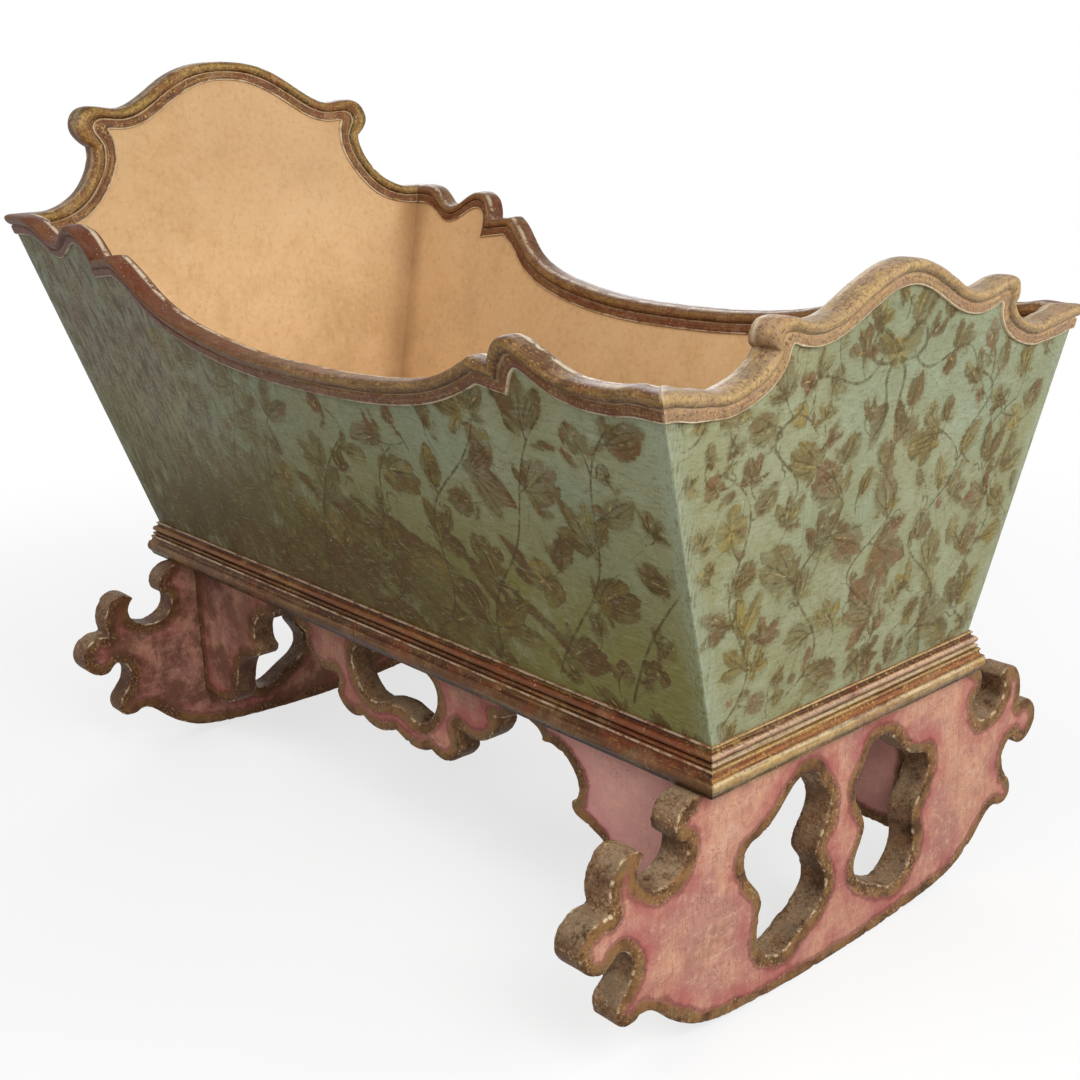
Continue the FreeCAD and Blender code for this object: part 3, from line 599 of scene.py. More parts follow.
def worn_pink():
    """Salmon paint with a crimson zone and an olive brown border, rough sawn edges, grit, dirt and painted
    shade towards the head end, and painted light near the foot.
    """
    look = Look("salmon_paint")
    wall, grime_and_shade, arris = map(look.attribute, ("wall", "grime_and_shade", "arris"))
    cloud, lumps, mid = look.noise(8, 4, 0.6), look.noise(45, 4, 0.65), look.noise(120, 4, 0.65)
    fine, grit = look.noise(480, 4, 0.65), look.noise(340, 4, 0.75)
    level, plumb = look.drag(22, 22, 520), look.drag(430, 430, 22)
    field = look.ramp(look.total((cloud, 0.55), (lumps, 0.45)), (0.38, (178, 124, 106)),
                      (0.47, (194, 141, 119)), (0.54, (203, 151, 123)), (0.64, (206, 161, 140)))
    wander = look.add(look.swing(look.noise(36, 3, 0.55), 14), look.swing(mid, 4.0))
    edge = look.total((look.attribute("edge"), 1), (wander, 1), (look.swing(fine, 2.0), 1))
    crimson = look.lift(look.patches(0.40, 0.60, 21, 4, 0.6), 0.7, 0.30)
    field = look.coats(
        field, ((166, 112, 108), look.noise(14, 3), 0.50, 0.62, 0.55),
        ((150, 106, 88), look.noise(10, 5, 0.68), 0.54, 0.68, 0.50),
        ((222, 182, 150), mid, 0.53, 0.66, 0.36), ((152, 100, 84), mid, 0.46, 0.34, 0.40),
        ((218, 182, 158), level, 0.53, 0.68, 0.50), ((140, 94, 80), plumb, 0.53, 0.69, 0.46),
        ((116, 78, 62), look.total((grit, 1), (level, 0.4)), 0.74, 0.86, 0.50),
        ((163, 76, 78), edge, 37, 14, look.times(crimson, 0.68)))
    border = look.ramp(look.total((look.noise(38, 4, 0.6), 0.8), (fine, 0.2)), (0.38, (84, 56, 34)),
                       (0.46, (110, 78, 47)), (0.54, (140, 101, 62)), (0.64, (112, 92, 62)))
    colour = look.mix(field, border, look.step(edge, 12.4, 10.0))
    rule = look.times(look.step(edge, 10.2, 12.4), 0.55)
    colour = look.coats(colour, ((74, 47, 28), edge, 6.5, 0.0, look.patches(0.42, 0.60, 50, 4, 0.65)),
                        ((98, 50, 44), edge, 16.5, 13.0, rule))
    sawn = look.ramp(look.total((look.noise(30, 5, 0.64), 0.8), (fine, 0.2)), (0.38, (64, 43, 29)),
                     (0.45, (100, 72, 50)), (0.51, (134, 104, 78)), (0.57, (118, 81, 53)),
                     (0.66, (172, 146, 114)))
    # Paler in patches on the walls that face up.
    paler_facing_up = look.times(look.step(look.total((lumps, 1), (fine, 0.4)), 0.56, 0.76), 0.60)
    sawn = look.coats(sawn, ((54, 35, 23), look.noise(17, 4, 0.6), 0.51, 0.62, 0.50),
                      ((158, 136, 108), look.facing_up(), 0.10, 0.85, paler_facing_up))
    colour = look.mix(colour, sawn, wall)
    patchy_grime_and_shade = look.step(look.total((look.noise(24, 5, 0.68), 1), (fine, 0.3)), 0.52, 0.74)
    # Dirt and painted shade, heavier towards the head end.
    colour = look.over(colour, (84, 51, 36), grime_and_shade, look.lift(patchy_grime_and_shade, 0.75, 0.25))
    # Painted light: paler pink in the field near the aprons' foot end.
    foot_light = look.times(look.step(edge, 12, 18), 0.55)
    rims = look.math("MAXIMUM", wall, look.step(edge, 15, 11))
    worn = look.times(look.times(rims, look.patches(0.42, 0.58, 30, 3, 0.6)), 0.55)
    chips = look.times(look.patches(0.44, 0.55, 90, 4, 0.65), 0.80)
    dots = look.flecks(210, 0.20, 0.10, 36, 0.52, 0.61)
    colour = look.coats(
        colour, ((232, 172, 166), grime_and_shade, 0.0, -0.4, foot_light), ((42, 27, 18), grit, 0.53, 0.62, worn),
        ((204, 178, 130), grit, 0.44, 0.36, worn),
        ((214, 192, 156), look.add(arris, look.swing(mid, 9)), 2.1, 0.3, chips))
    colour = look.over(colour, (76, 50, 36), dots, 0.65)
    rough = look.total((lumps, 0.17), (fine, 0.17), (0.36, 1))
    carved = look.times(look.noise(150, 5, 0.65), wall)
    height = look.total((level, 0.8), (plumb, 0.8), (grit, 0.5), (dots, -0.5), (carved, 1.5))
    return look.finish(colour, rough, height, 0.0005, 0.10)


def old_wood():
    """Aged bare boards: grain along the cradle, darker late wood, dust in the pores."""
    look = Look("old_wood")
    grain = look.noise(1, 6, 0.6, look.stretched(9, 150, 150), 0.4)
    pores = look.drag(40, 900, 900, detail=4)
    colour = look.ramp(look.total((grain, 0.7), (look.noise(6, 4, 0.6), 0.3)),
                       (0.34, (116, 82, 50)), (0.48, (158, 120, 78)), (0.66, (186, 148, 102)))
    colour = look.coats(colour, ((86, 60, 38), pores, 0.58, 0.72, 0.60),
                        ((128, 108, 84), look.noise(17, 4), 0.54, 0.68, 0.45))
    return look.finish(colour, look.lift(grain, 0.25, 0.55), look.total((grain, 0.7), (pores, 0.5)), 0.0005)


# Colours across each moulding, from its top or outer edge: share, and screen values.
# The bright lip at 0.56 and the gold middle of the upper band are painted highlights.
RIM_BANDS = ((0.00, (84, 60, 35)), (0.08, (104, 78, 42)), (0.24, (158, 126, 66)), (0.36, (134, 103, 54)),
             (0.46, (92, 63, 34)), (0.51, (46, 28, 16)), (0.56, (202, 176, 134)), (0.60, (140, 92, 58)),
             (0.68, (106, 64, 38)), (0.84, (124, 80, 49)), (0.93, (88, 53, 32)), (0.965, (200, 176, 138)),
             (1.00, (194, 170, 132)))
# The long sides' bead and plinth colours are painted in shade; the short sides' are lighter, with painted
# highlights on the rounds.
BEAD_LONG_SHADED = ((0.00, (126, 78, 50)), (0.08, (98, 57, 35)), (0.12, (58, 33, 20)), (0.24, (66, 36, 22)),
             (0.32, (88, 47, 28)), (0.44, (120, 70, 44)), (0.52, (100, 54, 33)), (0.62, (78, 41, 25)),
             (0.70, (48, 27, 16)), (0.78, (90, 54, 33)), (0.86, (80, 46, 28)), (1.00, (46, 27, 17)))
BEAD_SHORT_LIT = ((0.00, (206, 180, 132)), (0.08, (170, 136, 90)), (0.12, (84, 58, 36)), (0.24, (92, 62, 42)),
              (0.32, (118, 76, 54)), (0.41, (200, 168, 142)), (0.50, (150, 104, 80)), (0.62, (90, 56, 40)),
              (0.70, (66, 42, 28)), (0.78, (206, 184, 150)), (0.88, (140, 98, 66)), (1.00, (72, 46, 28)))
PLINTH_LONG_SHADED = ((0.00, (142, 100, 66)), (0.08, (98, 58, 35)), (0.14, (68, 38, 23)), (0.30, (80, 46, 28)),
               (0.40, (74, 43, 26)), (0.44, (98, 62, 37)), (0.54, (98, 62, 38)), (0.68, (88, 56, 34)),
               (0.84, (70, 45, 28)), (1.00, (38, 24, 15)))
PLINTH_SHORT_LIT = ((0.00, (200, 170, 122)), (0.08, (160, 118, 74)), (0.14, (120, 74, 43)), (0.30, (152, 98, 56)),
                (0.40, (122, 78, 46)), (0.44, (206, 182, 142)), (0.50, (204, 178, 136)),
                (0.56, (166, 132, 82)), (0.68, (138, 110, 62)), (0.82, (110, 86, 48)),
                (0.92, (84, 64, 36)), (1.00, (58, 40, 24)))
ALONG_X, ALONG_Y = (9, 560, 560), (560, 9, 560)
RUBBED, SHADED = 1.0, 0.42
sage = worn_green()
buff = buff_lining()
rim_gilt = worn_gilt("rim_gilt", RIM_BANDS, RUBBED)
# Shaded copies of the gilding for the long sides, lit copies with painted highlights for the short sides.
bead_gilt = [worn_gilt("bead_gilt_long_shaded", BEAD_LONG_SHADED, SHADED, ALONG_X),
             worn_gilt("bead_gilt_short_lit", BEAD_SHORT_LIT, RUBBED, ALONG_Y)]
plinth_gilt = [worn_gilt("plinth_gilt_long_shaded", PLINTH_LONG_SHADED, SHADED, ALONG_X),
               worn_gilt("plinth_gilt_short_lit", PLINTH_SHORT_LIT, RUBBED, ALONG_Y)]
salmon = worn_pink()
wood = old_wood()


# Brush work on the boards

def toward(spot, angle, far):
    """The point this far from a spot, in the direction of an angle."""
    return np.array((spot[0] + far * math.cos(angle), spot[1] + far * math.sin(angle)))


class Canvas:
    """Brush work planned on a board's outer face, drawn later on any points of it; u, v in millimetres."""

    CELL, MARGIN, FAR_OUTSIDE = 4.0, 9.0, -8.0
    OVATE, BLUNT, EVEN = (0.60, 0.80), (0.85, 0.45), (0.5, 0.5)

    def __init__(self, u, v, seed):
        self.rng = np.random.default_rng(seed)
        self.marks, self.taken = [], []
        self.low = np.array([u.min(), v.min()])
        size = ((np.array([u.max(), v.max()]) - self.low) / self.CELL).astype(int) + 1
        self.cells = np.zeros(size, bool)
        places = [((value - low) / self.CELL).astype(int) for value, low in zip((u, v), self.low)]
        self.cells[tuple(places)] = True

    def on(self, spot):
        """True where a spot lies on the board."""
        a, b = ((np.asarray(spot) - self.low) / self.CELL).astype(int)
        return 0 <= a < self.cells.shape[0] and 0 <= b < self.cells.shape[1] and self.cells[a, b]

    def free(self, spot, reach):
        """True where a motif of this reach fits on the board among the others."""
        if not all(self.on(toward(spot, angle, reach)) for angle in np.arange(0, 6.28, 0.7)):
            return False
        return all(math.dist(spot, other) > 0.84 * (reach + room) for other, room in self.taken)

    def pick(self, low, high):
        return self.rng.uniform(low, high)

    def dab(self, layer, base, angle, length, width, bend, tone=0.5, shape=OVATE):
        """One brush stroke from base along angle, that widens and tapers."""
        self.marks.append((layer, base, angle, length, width, bend, tone, shape))

    def vein(self, base, angle, length, bend, width=1.7):
        """A thin dark line."""
        self.dab("line", base, angle, length, width, bend, shape=self.EVEN)

    def touch(self, base, angle, length, bend, width=2.0):
        """A small pale stroke."""
        self.dab("lite", base, angle, length, width, bend, shape=self.EVEN)

    def stroke(self, points, width):
        """A thin line through points that tapers to its end."""
        points = np.asarray(points, float)
        steps = travelled(points)
        path = spline(points, steps, np.linspace(0, steps[-1], max(3, int(steps[-1] / 4))))
        for number, (a, b) in enumerate(zip(path[:-1], path[1:])):
            self.marks.append(("line", a, b - a, width / 2 * (1 - 0.4 * number / len(path))))
        return path

    def blade(self, base, angle, length, width, tone, bend=None):
        """A broad leaf with sketched flanks, a rib and a pale touch."""
        bend = self.pick(-0.2, 0.2) if bend is None else bend
        shape = self.OVATE if self.rng.random() < 0.7 else self.BLUNT
        self.dab("leaf", base, angle, length, width, bend, tone, shape)
        for side in (-1, 0, 1):
            if self.rng.random() < 0.62:
                turn = 0.85 * side * width / length
                self.vein(base, angle + turn, length * self.pick(0.7, 1.0), bend - 0.9 * turn)
        if self.rng.random() < 0.6:
            shift, away = length * self.pick(0.15, 0.5), width * self.pick(-0.2, 0.2)
            start = toward(toward(base, angle, shift), angle + math.pi / 2, away)
            self.touch(start, angle + self.pick(-0.3, 0.3) + bend, length * self.pick(0.2, 0.4), bend)

    def fan(self, base, angle, size, blades, tone):
        """A leaf of several lobes."""
        for k in range(blades):
            off = (k - (blades - 1) / 2) * self.pick(0.5, 0.8) + self.pick(-0.15, 0.15)
            long = size * (1 - 0.24 * abs(off)) * self.pick(0.85, 1.1)
            wide = long * self.pick(0.40, 0.58)
            self.blade(base, angle + off, long, wide, tone + self.pick(-0.2, 0.2), 0.14 * off)

    def flower(self, centre, size, tone):
        """A round bloom of blunt petals with a pale eye."""
        turn = self.pick(0, 6.28)
        for k in range(5):
            angle = turn + k * 1.257 + self.pick(-0.2, 0.2)
            long, wide = size * self.pick(0.42, 0.60), size * self.pick(0.44, 0.60)
            bend = self.pick(-0.2, 0.2)
            self.dab("leaf", centre, angle, long, wide, bend, tone + self.pick(-0.2, 0.15), self.BLUNT)
            self.vein(centre, angle + 0.63, size * self.pick(0.3, 0.5), 0.15, 1.6)
        for k in range(3):
            self.touch(centre, self.pick(0, 6.28), size * self.pick(0.12, 0.3), 0.1, 2.2)

    def tulip(self, base, angle, size, tone):
        """A bell of three petals between sepals."""
        for k in (-1, 1, 0):
            long = size * (0.9 if k else 1.0)
            self.dab("leaf", base, angle + 0.40 * k, long, size * 0.48, -0.14 * k, tone - 0.12 * abs(k))
            self.vein(base, angle + 0.58 * k + 0.1, size * self.pick(0.7, 0.95), -0.2 * k)
        self.touch(base, angle + self.pick(-0.3, 0.3), size * 0.6, 0.1)
        for k in (-1, 1):
            self.dab("leaf", base, angle + 1.1 * k, size * 0.45, size * 0.2, 0.3 * k, 0.3)

    def berry(self, centre, size, tone):
        """A small round fruit with a pale spot."""
        self.dab("leaf", (centre[0] - size / 2, centre[1]), 0.0, size, size, 0.0, tone, self.EVEN)
        self.touch((centre[0] - size * 0.2, centre[1] + size * 0.1), 0.6, size * 0.5, 0.2, size * 0.26)

    def tendril(self, base, angle, size, side):
        """A stalk that curls in at its end."""
        centre = toward(base, angle, size)
        curl = [toward(centre, angle + 3.14 + side * t, r)
                for r, t in zip(size * np.linspace(0.55, 0.08, 9), np.linspace(0, 5.2, 9))]
        self.stroke([base] + curl, 2.2)

    def motif(self, spot, angle, size):
        """A flower, leaf or lobed leaf, centred on a spot."""
        kind = self.rng.random()
        tone = self.rng.choice([0.05, 0.18, 0.32, 0.46, 0.60, 0.76])
        base = toward(spot, angle, -0.45 * size)
        if kind < 0.16:
            self.flower(spot, size * self.pick(0.45, 0.75), self.rng.choice([0.05, 0.55, 0.75, 0.95]))
        elif kind < 0.34:
            self.tulip(base, angle, size * 0.86, self.rng.choice([0.40, 0.62, 0.80]))
        elif kind < 0.56:
            self.blade(base, angle, size * 0.9, size * self.pick(0.45, 0.66), tone)
        elif kind < 0.86:
            self.fan(base, angle, size * 0.92, int(self.rng.integers(3, 5)), tone)
        else:
            for k in (-1, 1):
                self.blade(base, angle + 0.5 * k, size * 0.85, size * 0.34, tone, -0.15 * k)
        for k in range(3):
            near = base + self.rng.uniform(-0.22, 0.22, 2) * size
            turn = self.pick(-1.3, 1.3)
            long, wide = size * self.pick(0.25, 0.45), size * self.pick(0.10, 0.20)
            bend = self.pick(-0.3, 0.3)
            self.dab("leaf", near, angle + turn, long, wide, bend, self.pick(0.1, 0.9), self.EVEN)
        self.taken.append((spot, size * 0.5))

    def vine(self, points, size, gap):
        """A stem with motifs on alternate sides, tendrils, and a motif at its tip."""
        path = self.stroke(points, 3.0)
        walked, due, side = 0.0, gap * 0.5, 1
        for a, b in zip(path[:-1], path[1:]):
            walked += np.linalg.norm(b - a)
            if walked < due:
                continue
            heading = math.atan2(b[1] - a[1], b[0] - a[0])
            due += gap * self.pick(0.65, 1.3)
            side = -side
            room = size * self.pick(0.7, 1.25)
            angle = heading + side * self.pick(0.5, 1.2)
            spot = toward(b, angle, 0.6 * room)
            if self.rng.random() < 0.35:
                self.tendril(b, heading - side * 0.9, room * self.pick(0.28, 0.42), -side)
            elif self.rng.random() < 0.4:
                away = toward(b, angle, -0.25 * room)
                self.berry(away, room * self.pick(0.18, 0.28), self.rng.choice([0.05, 0.7, 0.95]))
            if self.free(spot, room * 0.36):
                self.stroke([b, (b + spot) / 2 + self.rng.uniform(-4, 4, 2), spot], 2.2)
                self.motif(spot, angle, room)
        heading = math.atan2(*(path[-1] - path[-2])[::-1])
        tip = toward(path[-1], heading, 0.4 * size)
        if self.free(tip, size * 0.4):
            self.motif(tip, heading, size)

    def scatter(self, size, lean, tries, spread):
        """Sprigs wherever there is still room."""
        for k in range(tries):
            spot = self.low + self.rng.random(2) * np.array(self.cells.shape) * self.CELL
            room = size * self.pick(0.5, 1.2)
            angle = lean + self.pick(-spread, spread)
            if self.free(spot, room * 0.46):
                self.motif(spot, angle, room)
                tail = toward(spot, angle, -room)
                self.stroke([spot, (spot + tail) / 2 + self.rng.uniform(-8, 8, 2), tail], 2.0)

    def numbers(self, u, v):
        """The layers at points: how far inside each mark, and each leaf's tone and brush direction."""
        def near(spot, reach):
            return np.flatnonzero((np.abs(u - spot[0]) < reach) & (np.abs(v - spot[1]) < reach))

        made = {key: np.full(len(u), self.FAR_OUTSIDE) for key in ("leaf", "line", "lite")}
        made.update({key: np.zeros(len(u)) for key in ("tone", "along", "across", "flank")})
        for layer, base, *rest in self.marks:
            if len(rest) == 2:
                span, half = rest
                at = near(base + span / 2, self.MARGIN)
                du, dv = u[at] - base[0], v[at] - base[1]
                t = np.clip((du * span[0] + dv * span[1]) / max(span @ span, 1e-9), 0, 1)
                inside = half - np.hypot(du - t * span[0], dv - t * span[1])
            else:
                angle, length, width, bend, tone, (rise, fall) = rest
                at = near(base, length * 1.1 + self.MARGIN)
                du, dv = u[at] - base[0], v[at] - base[1]
                x = du * math.cos(angle) + dv * math.sin(angle)
                t = np.clip(x / length, 0, 1)
                y = dv * math.cos(angle) - du * math.sin(angle) - bend * length * t * t
                peak = rise / (rise + fall)
                half = width / 2 * (t / peak) ** rise * ((1 - t) / (1 - peak)) ** fall
                inside = half - np.abs(y) - np.abs(x - t * length)
            better = inside > made[layer][at]
            chosen = at[better]
            made[layer][chosen] = inside[better]
            if layer == "leaf":
                made["tone"][chosen] = tone
                made["along"][chosen] = x[better] * 0.07 + base[0]
                made["across"][chosen] = y[better] * 0.45 + base[1]
                made["flank"][chosen] = np.clip(y[better] / (half[better] + 0.5), -1, 1)
        return made


def end_canvas(u, v, seed):
    """A canvas for an end board, whose paint also covers the ends of the side boards."""
    return Canvas(np.concatenate([u - BOARD, u, u + BOARD]), np.tile(v, 3), seed)


def paint_foot(u, v):
    """Foot board: vines from the bottom, a ribbon bow at the top, sprigs between."""
    art = end_canvas(u, v, 11)
    for side in (-1, 1):
        loop = [(0, 290), (12, 306), (30, 312), (36, 296), (18, 285), (0, 290)]
        art.stroke([(side * a, b) for a, b in loop], 4.6)
        art.dab("leaf", (side * 5, 292), 1.57 - 1.05 * side, 32, 17, 0.1 * side, 0.36)
        art.stroke([(0, 288), (side * 12, 268), (side * 8, 250), (side * 19, 226)], 4.2)
        art.blade((side * 10, 254), -1.57 + 0.2 * side, 40, 18, 0.66)
        art.blade((side * 26, 310), 1.57 - 0.5 * side, 42, 14, 0.50)
        art.stroke([(side * 22, 290), (side * 60, 276), (side * 94, 286), (side * 118, 264)], 3.0)
    art.flower((0, 291), 26, 0.08)
    art.taken += [((0, 292), 36), ((0, 240), 24), ((55, 278), 12), ((-55, 278), 12)]
    for points in (((-172, 14), (-150, 66), (-178, 120), (-164, 176), (-196, 226)),
                   ((-92, 18), (-66, 66), (-98, 118), (-56, 160), (-90, 214)),
                   ((-14, 16), (16, 62), (-30, 108), (18, 150), (-6, 196)),
                   ((62, 20), (98, 72), (54, 120), (104, 166), (66, 220)),
                   ((166, 16), (140, 66), (176, 118), (152, 172), (196, 226)),
                   ((118, 262), (146, 232), (116, 200), (132, 176)),
                   ((-118, 262), (-142, 236), (-112, 206), (-128, 180))):
        art.vine(points, 48, 36)
    art.scatter(40, 1.5, 1500, 1.0)
    return art


def paint_head(u, v):
    """Head board: a tall symmetrical spray, less crowded."""
    art = end_canvas(u, v, 23)
    half = (((20, 20), (70, 90), (60, 170), (110, 240), (96, 320)),
            ((110, 20), (140, 90), (124, 160), (178, 230), (190, 300)),
            ((6, 180), (50, 240), (36, 320), (80, 380), (70, 450)),
            ((160, 40), (180, 110), (210, 170), (240, 250)))
    art.vine([(0, 20), (14, 110), (-12, 200), (10, 300), (0, 420)], 60, 48)
    for side in (-1, 1):
        for line in half:
            art.vine([(side * a, b) for a, b in line], 60, 48)
    art.scatter(50, 1.55, 1500, 1.0)
    return art


def paint_side(u, v, seed):
    """Side board: leaning vines and loose strokes low down."""
    art = Canvas(u, v, seed)
    run = math.cos(SPRAY_LEAN) / math.sin(SPRAY_LEAN)
    for start in np.arange(-430, 470, 92):
        rise = [(start + k * 62 * run + art.pick(-24, 24), 14 + 62 * k) for k in range(5)]
        art.vine([point for point in rise if art.on(point)] or rise[:2], 60, 46)
    art.scatter(52, math.pi - SPRAY_LEAN, 2200, 1.3)
    for k in range(70):
        spot = (art.pick(-330, 260), art.pick(10, 150))
        angle = SPRAY_LEAN - math.pi / 2 + art.pick(-0.5, 0.2)
        long, wide, bend = art.pick(40, 90), art.pick(7, 18), art.pick(-0.15, 0.15)
        art.dab("leaf", spot, angle, long, wide, bend, art.rng.choice([0.2, 0.45, 0.6, 0.8]), art.EVEN)
    return art


# Boards

def corner_line(sign, half, slope):
    """Where a board's corner lies from the tub's middle, by height and by depth behind the outer face."""
    return lambda height, depth: sign * (half + slope * height - depth)


def placing(corner, long):
    """Points of a board from the way along it, the height and the depth behind its outer face."""
    def place(along, height, depth):
        x, y = (along, corner(height, depth)) if long else (corner(height, depth), along)
        return np.stack([TUB_X + x, y, TUB_FOOT + height], axis=-1)
    return place


head_corner = corner_line(-1, HALF_LENGTH, HEAD_SLOPE)
foot_corner = corner_line(1, HALF_LENGTH, FOOT_SLOPE)
minus_end_corner = corner_line(-1, HALF_WIDTH, SIDE_SLOPE)
end_corner = corner_line(1, HALF_WIDTH, SIDE_SLOPE)
head_place, foot_place = placing(head_corner, False), placing(foot_corner, False)
front_place, back_place = placing(minus_end_corner, True), placing(end_corner, True)
ARTS = {}


def depth_of(place, long):
    """How far points lie behind a board's outer face."""
    def depth(points):
        along = points[:, 0] - TUB_X if long else points[:, 1]
        face = place(along, points[:, 2] - TUB_FOOT, np.zeros(len(points)))
        return np.abs(face - points).sum(axis=1)
    return depth


def uneven(u, v):
    """Wide soft noise over a board, for glaze and painted shade."""
    return layered_noise(np.stack([u, v], axis=1), 120, 9)


def board(name, place, paint, far_shade=0.0):
    """A board with a fine painted outer face, eased edges and a lined inner face with painted shade."""
    long = place in (front_place, back_place)
    loop = outlines(name, depth_of(place, long))[0]
    loop = np.stack([loop[:, 0] - TUB_X if long else loop[:, 1], loop[:, 2] - TUB_FOOT], axis=1)
    loop = resampled(loop, BOARD_EDGE)

    def to_end(u, v, depth):
        """How far points are from the nearer end of the board at this depth."""
        if long:
            return np.minimum(u - head_corner(v, depth), foot_corner(v, depth) - u)
        return end_corner(v, depth) - np.abs(u)

    worn = 0.8 + 0.5 * layered_noise(loop, 22, 5)
    tight = np.where(to_end(*loop.T, 0 if long else BOARD) < 1.0, 0.10, 1.0) * worn
    outer_points, outer_faces = filled(inset(loop, (worn if long else tight)[:, None]), BOARD_GRID)
    inner_points, inner_faces = filled(inset(loop, tight[:, None]), LINING_GRID)
    levels = np.linspace(0.8, BOARD - 0.1, 12 if long else 2)
    parts = [(outer_points, 0.0)] + [(loop, d) for d in levels] + [(inner_points, BOARD)]
    depth = np.concatenate([np.full(len(p), d) for p, d in parts])
    u, v = np.concatenate([p for p, d in parts]).T
    starts = np.cumsum([0] + [len(p) for p, d in parts])
    ring = np.arange(len(loop))
    walls = np.concatenate([belt(ring, a, b) for a, b in zip(starts[:-2], starts[1:-1])])
    faces = outer_faces.tolist() + (inner_faces[:, ::-1] + starts[-2]).tolist() + walls.tolist()
    kinds = [0] * len(outer_faces) + [1] * len(inner_faces) + [0] * len(walls)
    wide = uneven(u, v)
    # Painted shade on the lining: darker near the inner corners and at the bottom, darker towards the top, and
    # on the back board darker towards the head end.
    low_lining_shade = np.maximum(0.8 * smooth(to_end(u, v, BOARD) + 14 * wide, 50, 0), 0.12 * smooth(v, 50, 0))
    lining_shade = np.maximum(low_lining_shade + 0.34 * smooth(v, 240, 460), far_shade * smooth(u, 330, -200))
    bare = np.zeros(len(u))
    numbers = {"arris": to_end(u, v, 0), "lining_shade": lining_shade, "mauve": bare, "umber": bare.copy(),
               "glaze": 0.30 + 0.2 * wide, "press": bare + 0.85}
    if long:
        rubbed = smooth(u + 90 * wide, 40, -330)
        numbers["arris"] = np.maximum(numbers["arris"], depth)
        numbers["mauve"] = rubbed
        numbers["press"] = 1.0 - 0.72 * rubbed
        numbers["glaze"] = np.clip(smooth(v + 60 * wide, 230, 30) * (1 - 0.5 * rubbed) + 0.20, 0, 1)
        numbers["umber"] = smooth(u + 110 * wide, 260, 20) * smooth(v + 50 * wide, 190, 40)
    outside = len(outer_points)
    ARTS[name] = paint(u[:outside], v[:outside])
    for key, values in ARTS[name].numbers(u[:outside], v[:outside]).items():
        rest = values.min() if key in ("leaf", "line", "lite") else 0.0
        numbers[key] = np.concatenate([values, np.full(len(u) - outside, rest)])
    if long:
        for end, gap in (("head_board", u - head_corner(v, 0)), ("foot_board", foot_corner(v, 0) - u)):
            at = np.flatnonzero((gap < 1.0) & (depth > 0) & (depth < BOARD))
            across = end_corner(v[at], depth[at]) * (-1 if place is front_place else 1)
            as_end = {"mauve": 0.0, "umber": 0.0, "press": 0.85, "glaze": 0.30 + 0.2 * uneven(across, v[at])}
            for key, values in (ARTS[end].numbers(across, v[at]) | as_end).items():
                numbers[key][at] = values
    piece(name + "_painted", place(u, v, depth), faces, (sage, buff), name, numbers, kinds)


board("head_board", head_place, paint_head)
board("foot_board", foot_place, paint_foot)
board("side_board_front", front_place, lambda u, v: paint_side(u, v, 37))
# The back board's lining gets painted shade towards the head end.
board("side_board_back", back_place, lambda u, v: paint_side(u, v, 41), 0.35)


# Rims, from the CAD model's stations: share along, rise, way to the lower border, 1 where sharp.

HEAD_EDGE = (
    (0.000, 1.000, 0.00, -0.96, 0), (0.125, 0.982, -0.20, -1.00, 0), (0.236, 0.921, -0.30, -1.10, 0),
    (0.341, 0.811, -0.30, -1.12, 0), (0.428, 0.720, -0.26, -1.09, 0), (0.513, 0.683, -0.30, -1.04, 0),
    (0.607, 0.701, -0.96, -1.15, 0), (0.675, 0.659, -1.60, -0.85, 0), (0.698, 0.573, -1.85, -0.26, 0),
    (0.681, 0.482, -1.74, 0.15, 0), (0.641, 0.421, -1.30, 0.12, 1), (0.644, 0.341, -1.30, -0.08, 0),
    (0.685, 0.195, -1.22, -0.30, 0), (0.752, 0.079, -1.08, -0.60, 0), (0.835, 0.012, -0.75, -0.85, 0))
FOOT_EDGE = (
    (0.000, 1.000, 0.00, -0.91, 0), (0.132, 0.877, -0.17, -0.88, 0), (0.220, 0.708, -0.13, -0.94, 0),
    (0.300, 0.538, -0.04, -0.91, 0), (0.377, 0.462, 0.04, -0.89, 0), (0.454, 0.492, -0.09, -0.90, 0),
    (0.535, 0.569, -0.57, -0.98, 0), (0.586, 0.523, -1.00, -0.80, 0), (0.601, 0.400, -1.09, -0.52, 0),
    (0.579, 0.231, -0.74, -0.39, 1), (0.597, 0.123, -0.74, -0.50, 0), (0.637, 0.000, -0.66, -0.65, 0),
    (0.710, -0.108, -0.60, -0.76, 0), (0.775, -0.140, -0.40, -0.88, 0), (0.828, -0.090, -0.15, -0.97, 0))
SIDE_EDGE_HEAD = (
    (0.058, 0.958, 0.10, -1.00, 0), (0.093, 0.790, 0.10, -0.87, 0), (0.122, 0.857, 0.10, -0.90, 0),
    (0.148, 0.950, 0.20, -0.87, 0), (0.170, 0.891, -0.05, -0.87, 0), (0.181, 0.773, -0.35, -0.92, 0),
    (0.185, 0.672, -0.57, -1.00, 1), (0.224, 0.706, -0.35, -0.95, 1), (0.242, 0.605, -0.20, -0.95, 0),
    (0.266, 0.420, -0.15, -0.95, 0), (0.305, 0.235, 0.05, -0.97, 0), (0.365, 0.109, 0.00, -1.00, 0),
    (0.439, 0.025, 0.00, -1.00, 0), (0.514, 0.000, 0.00, -1.00, 0))
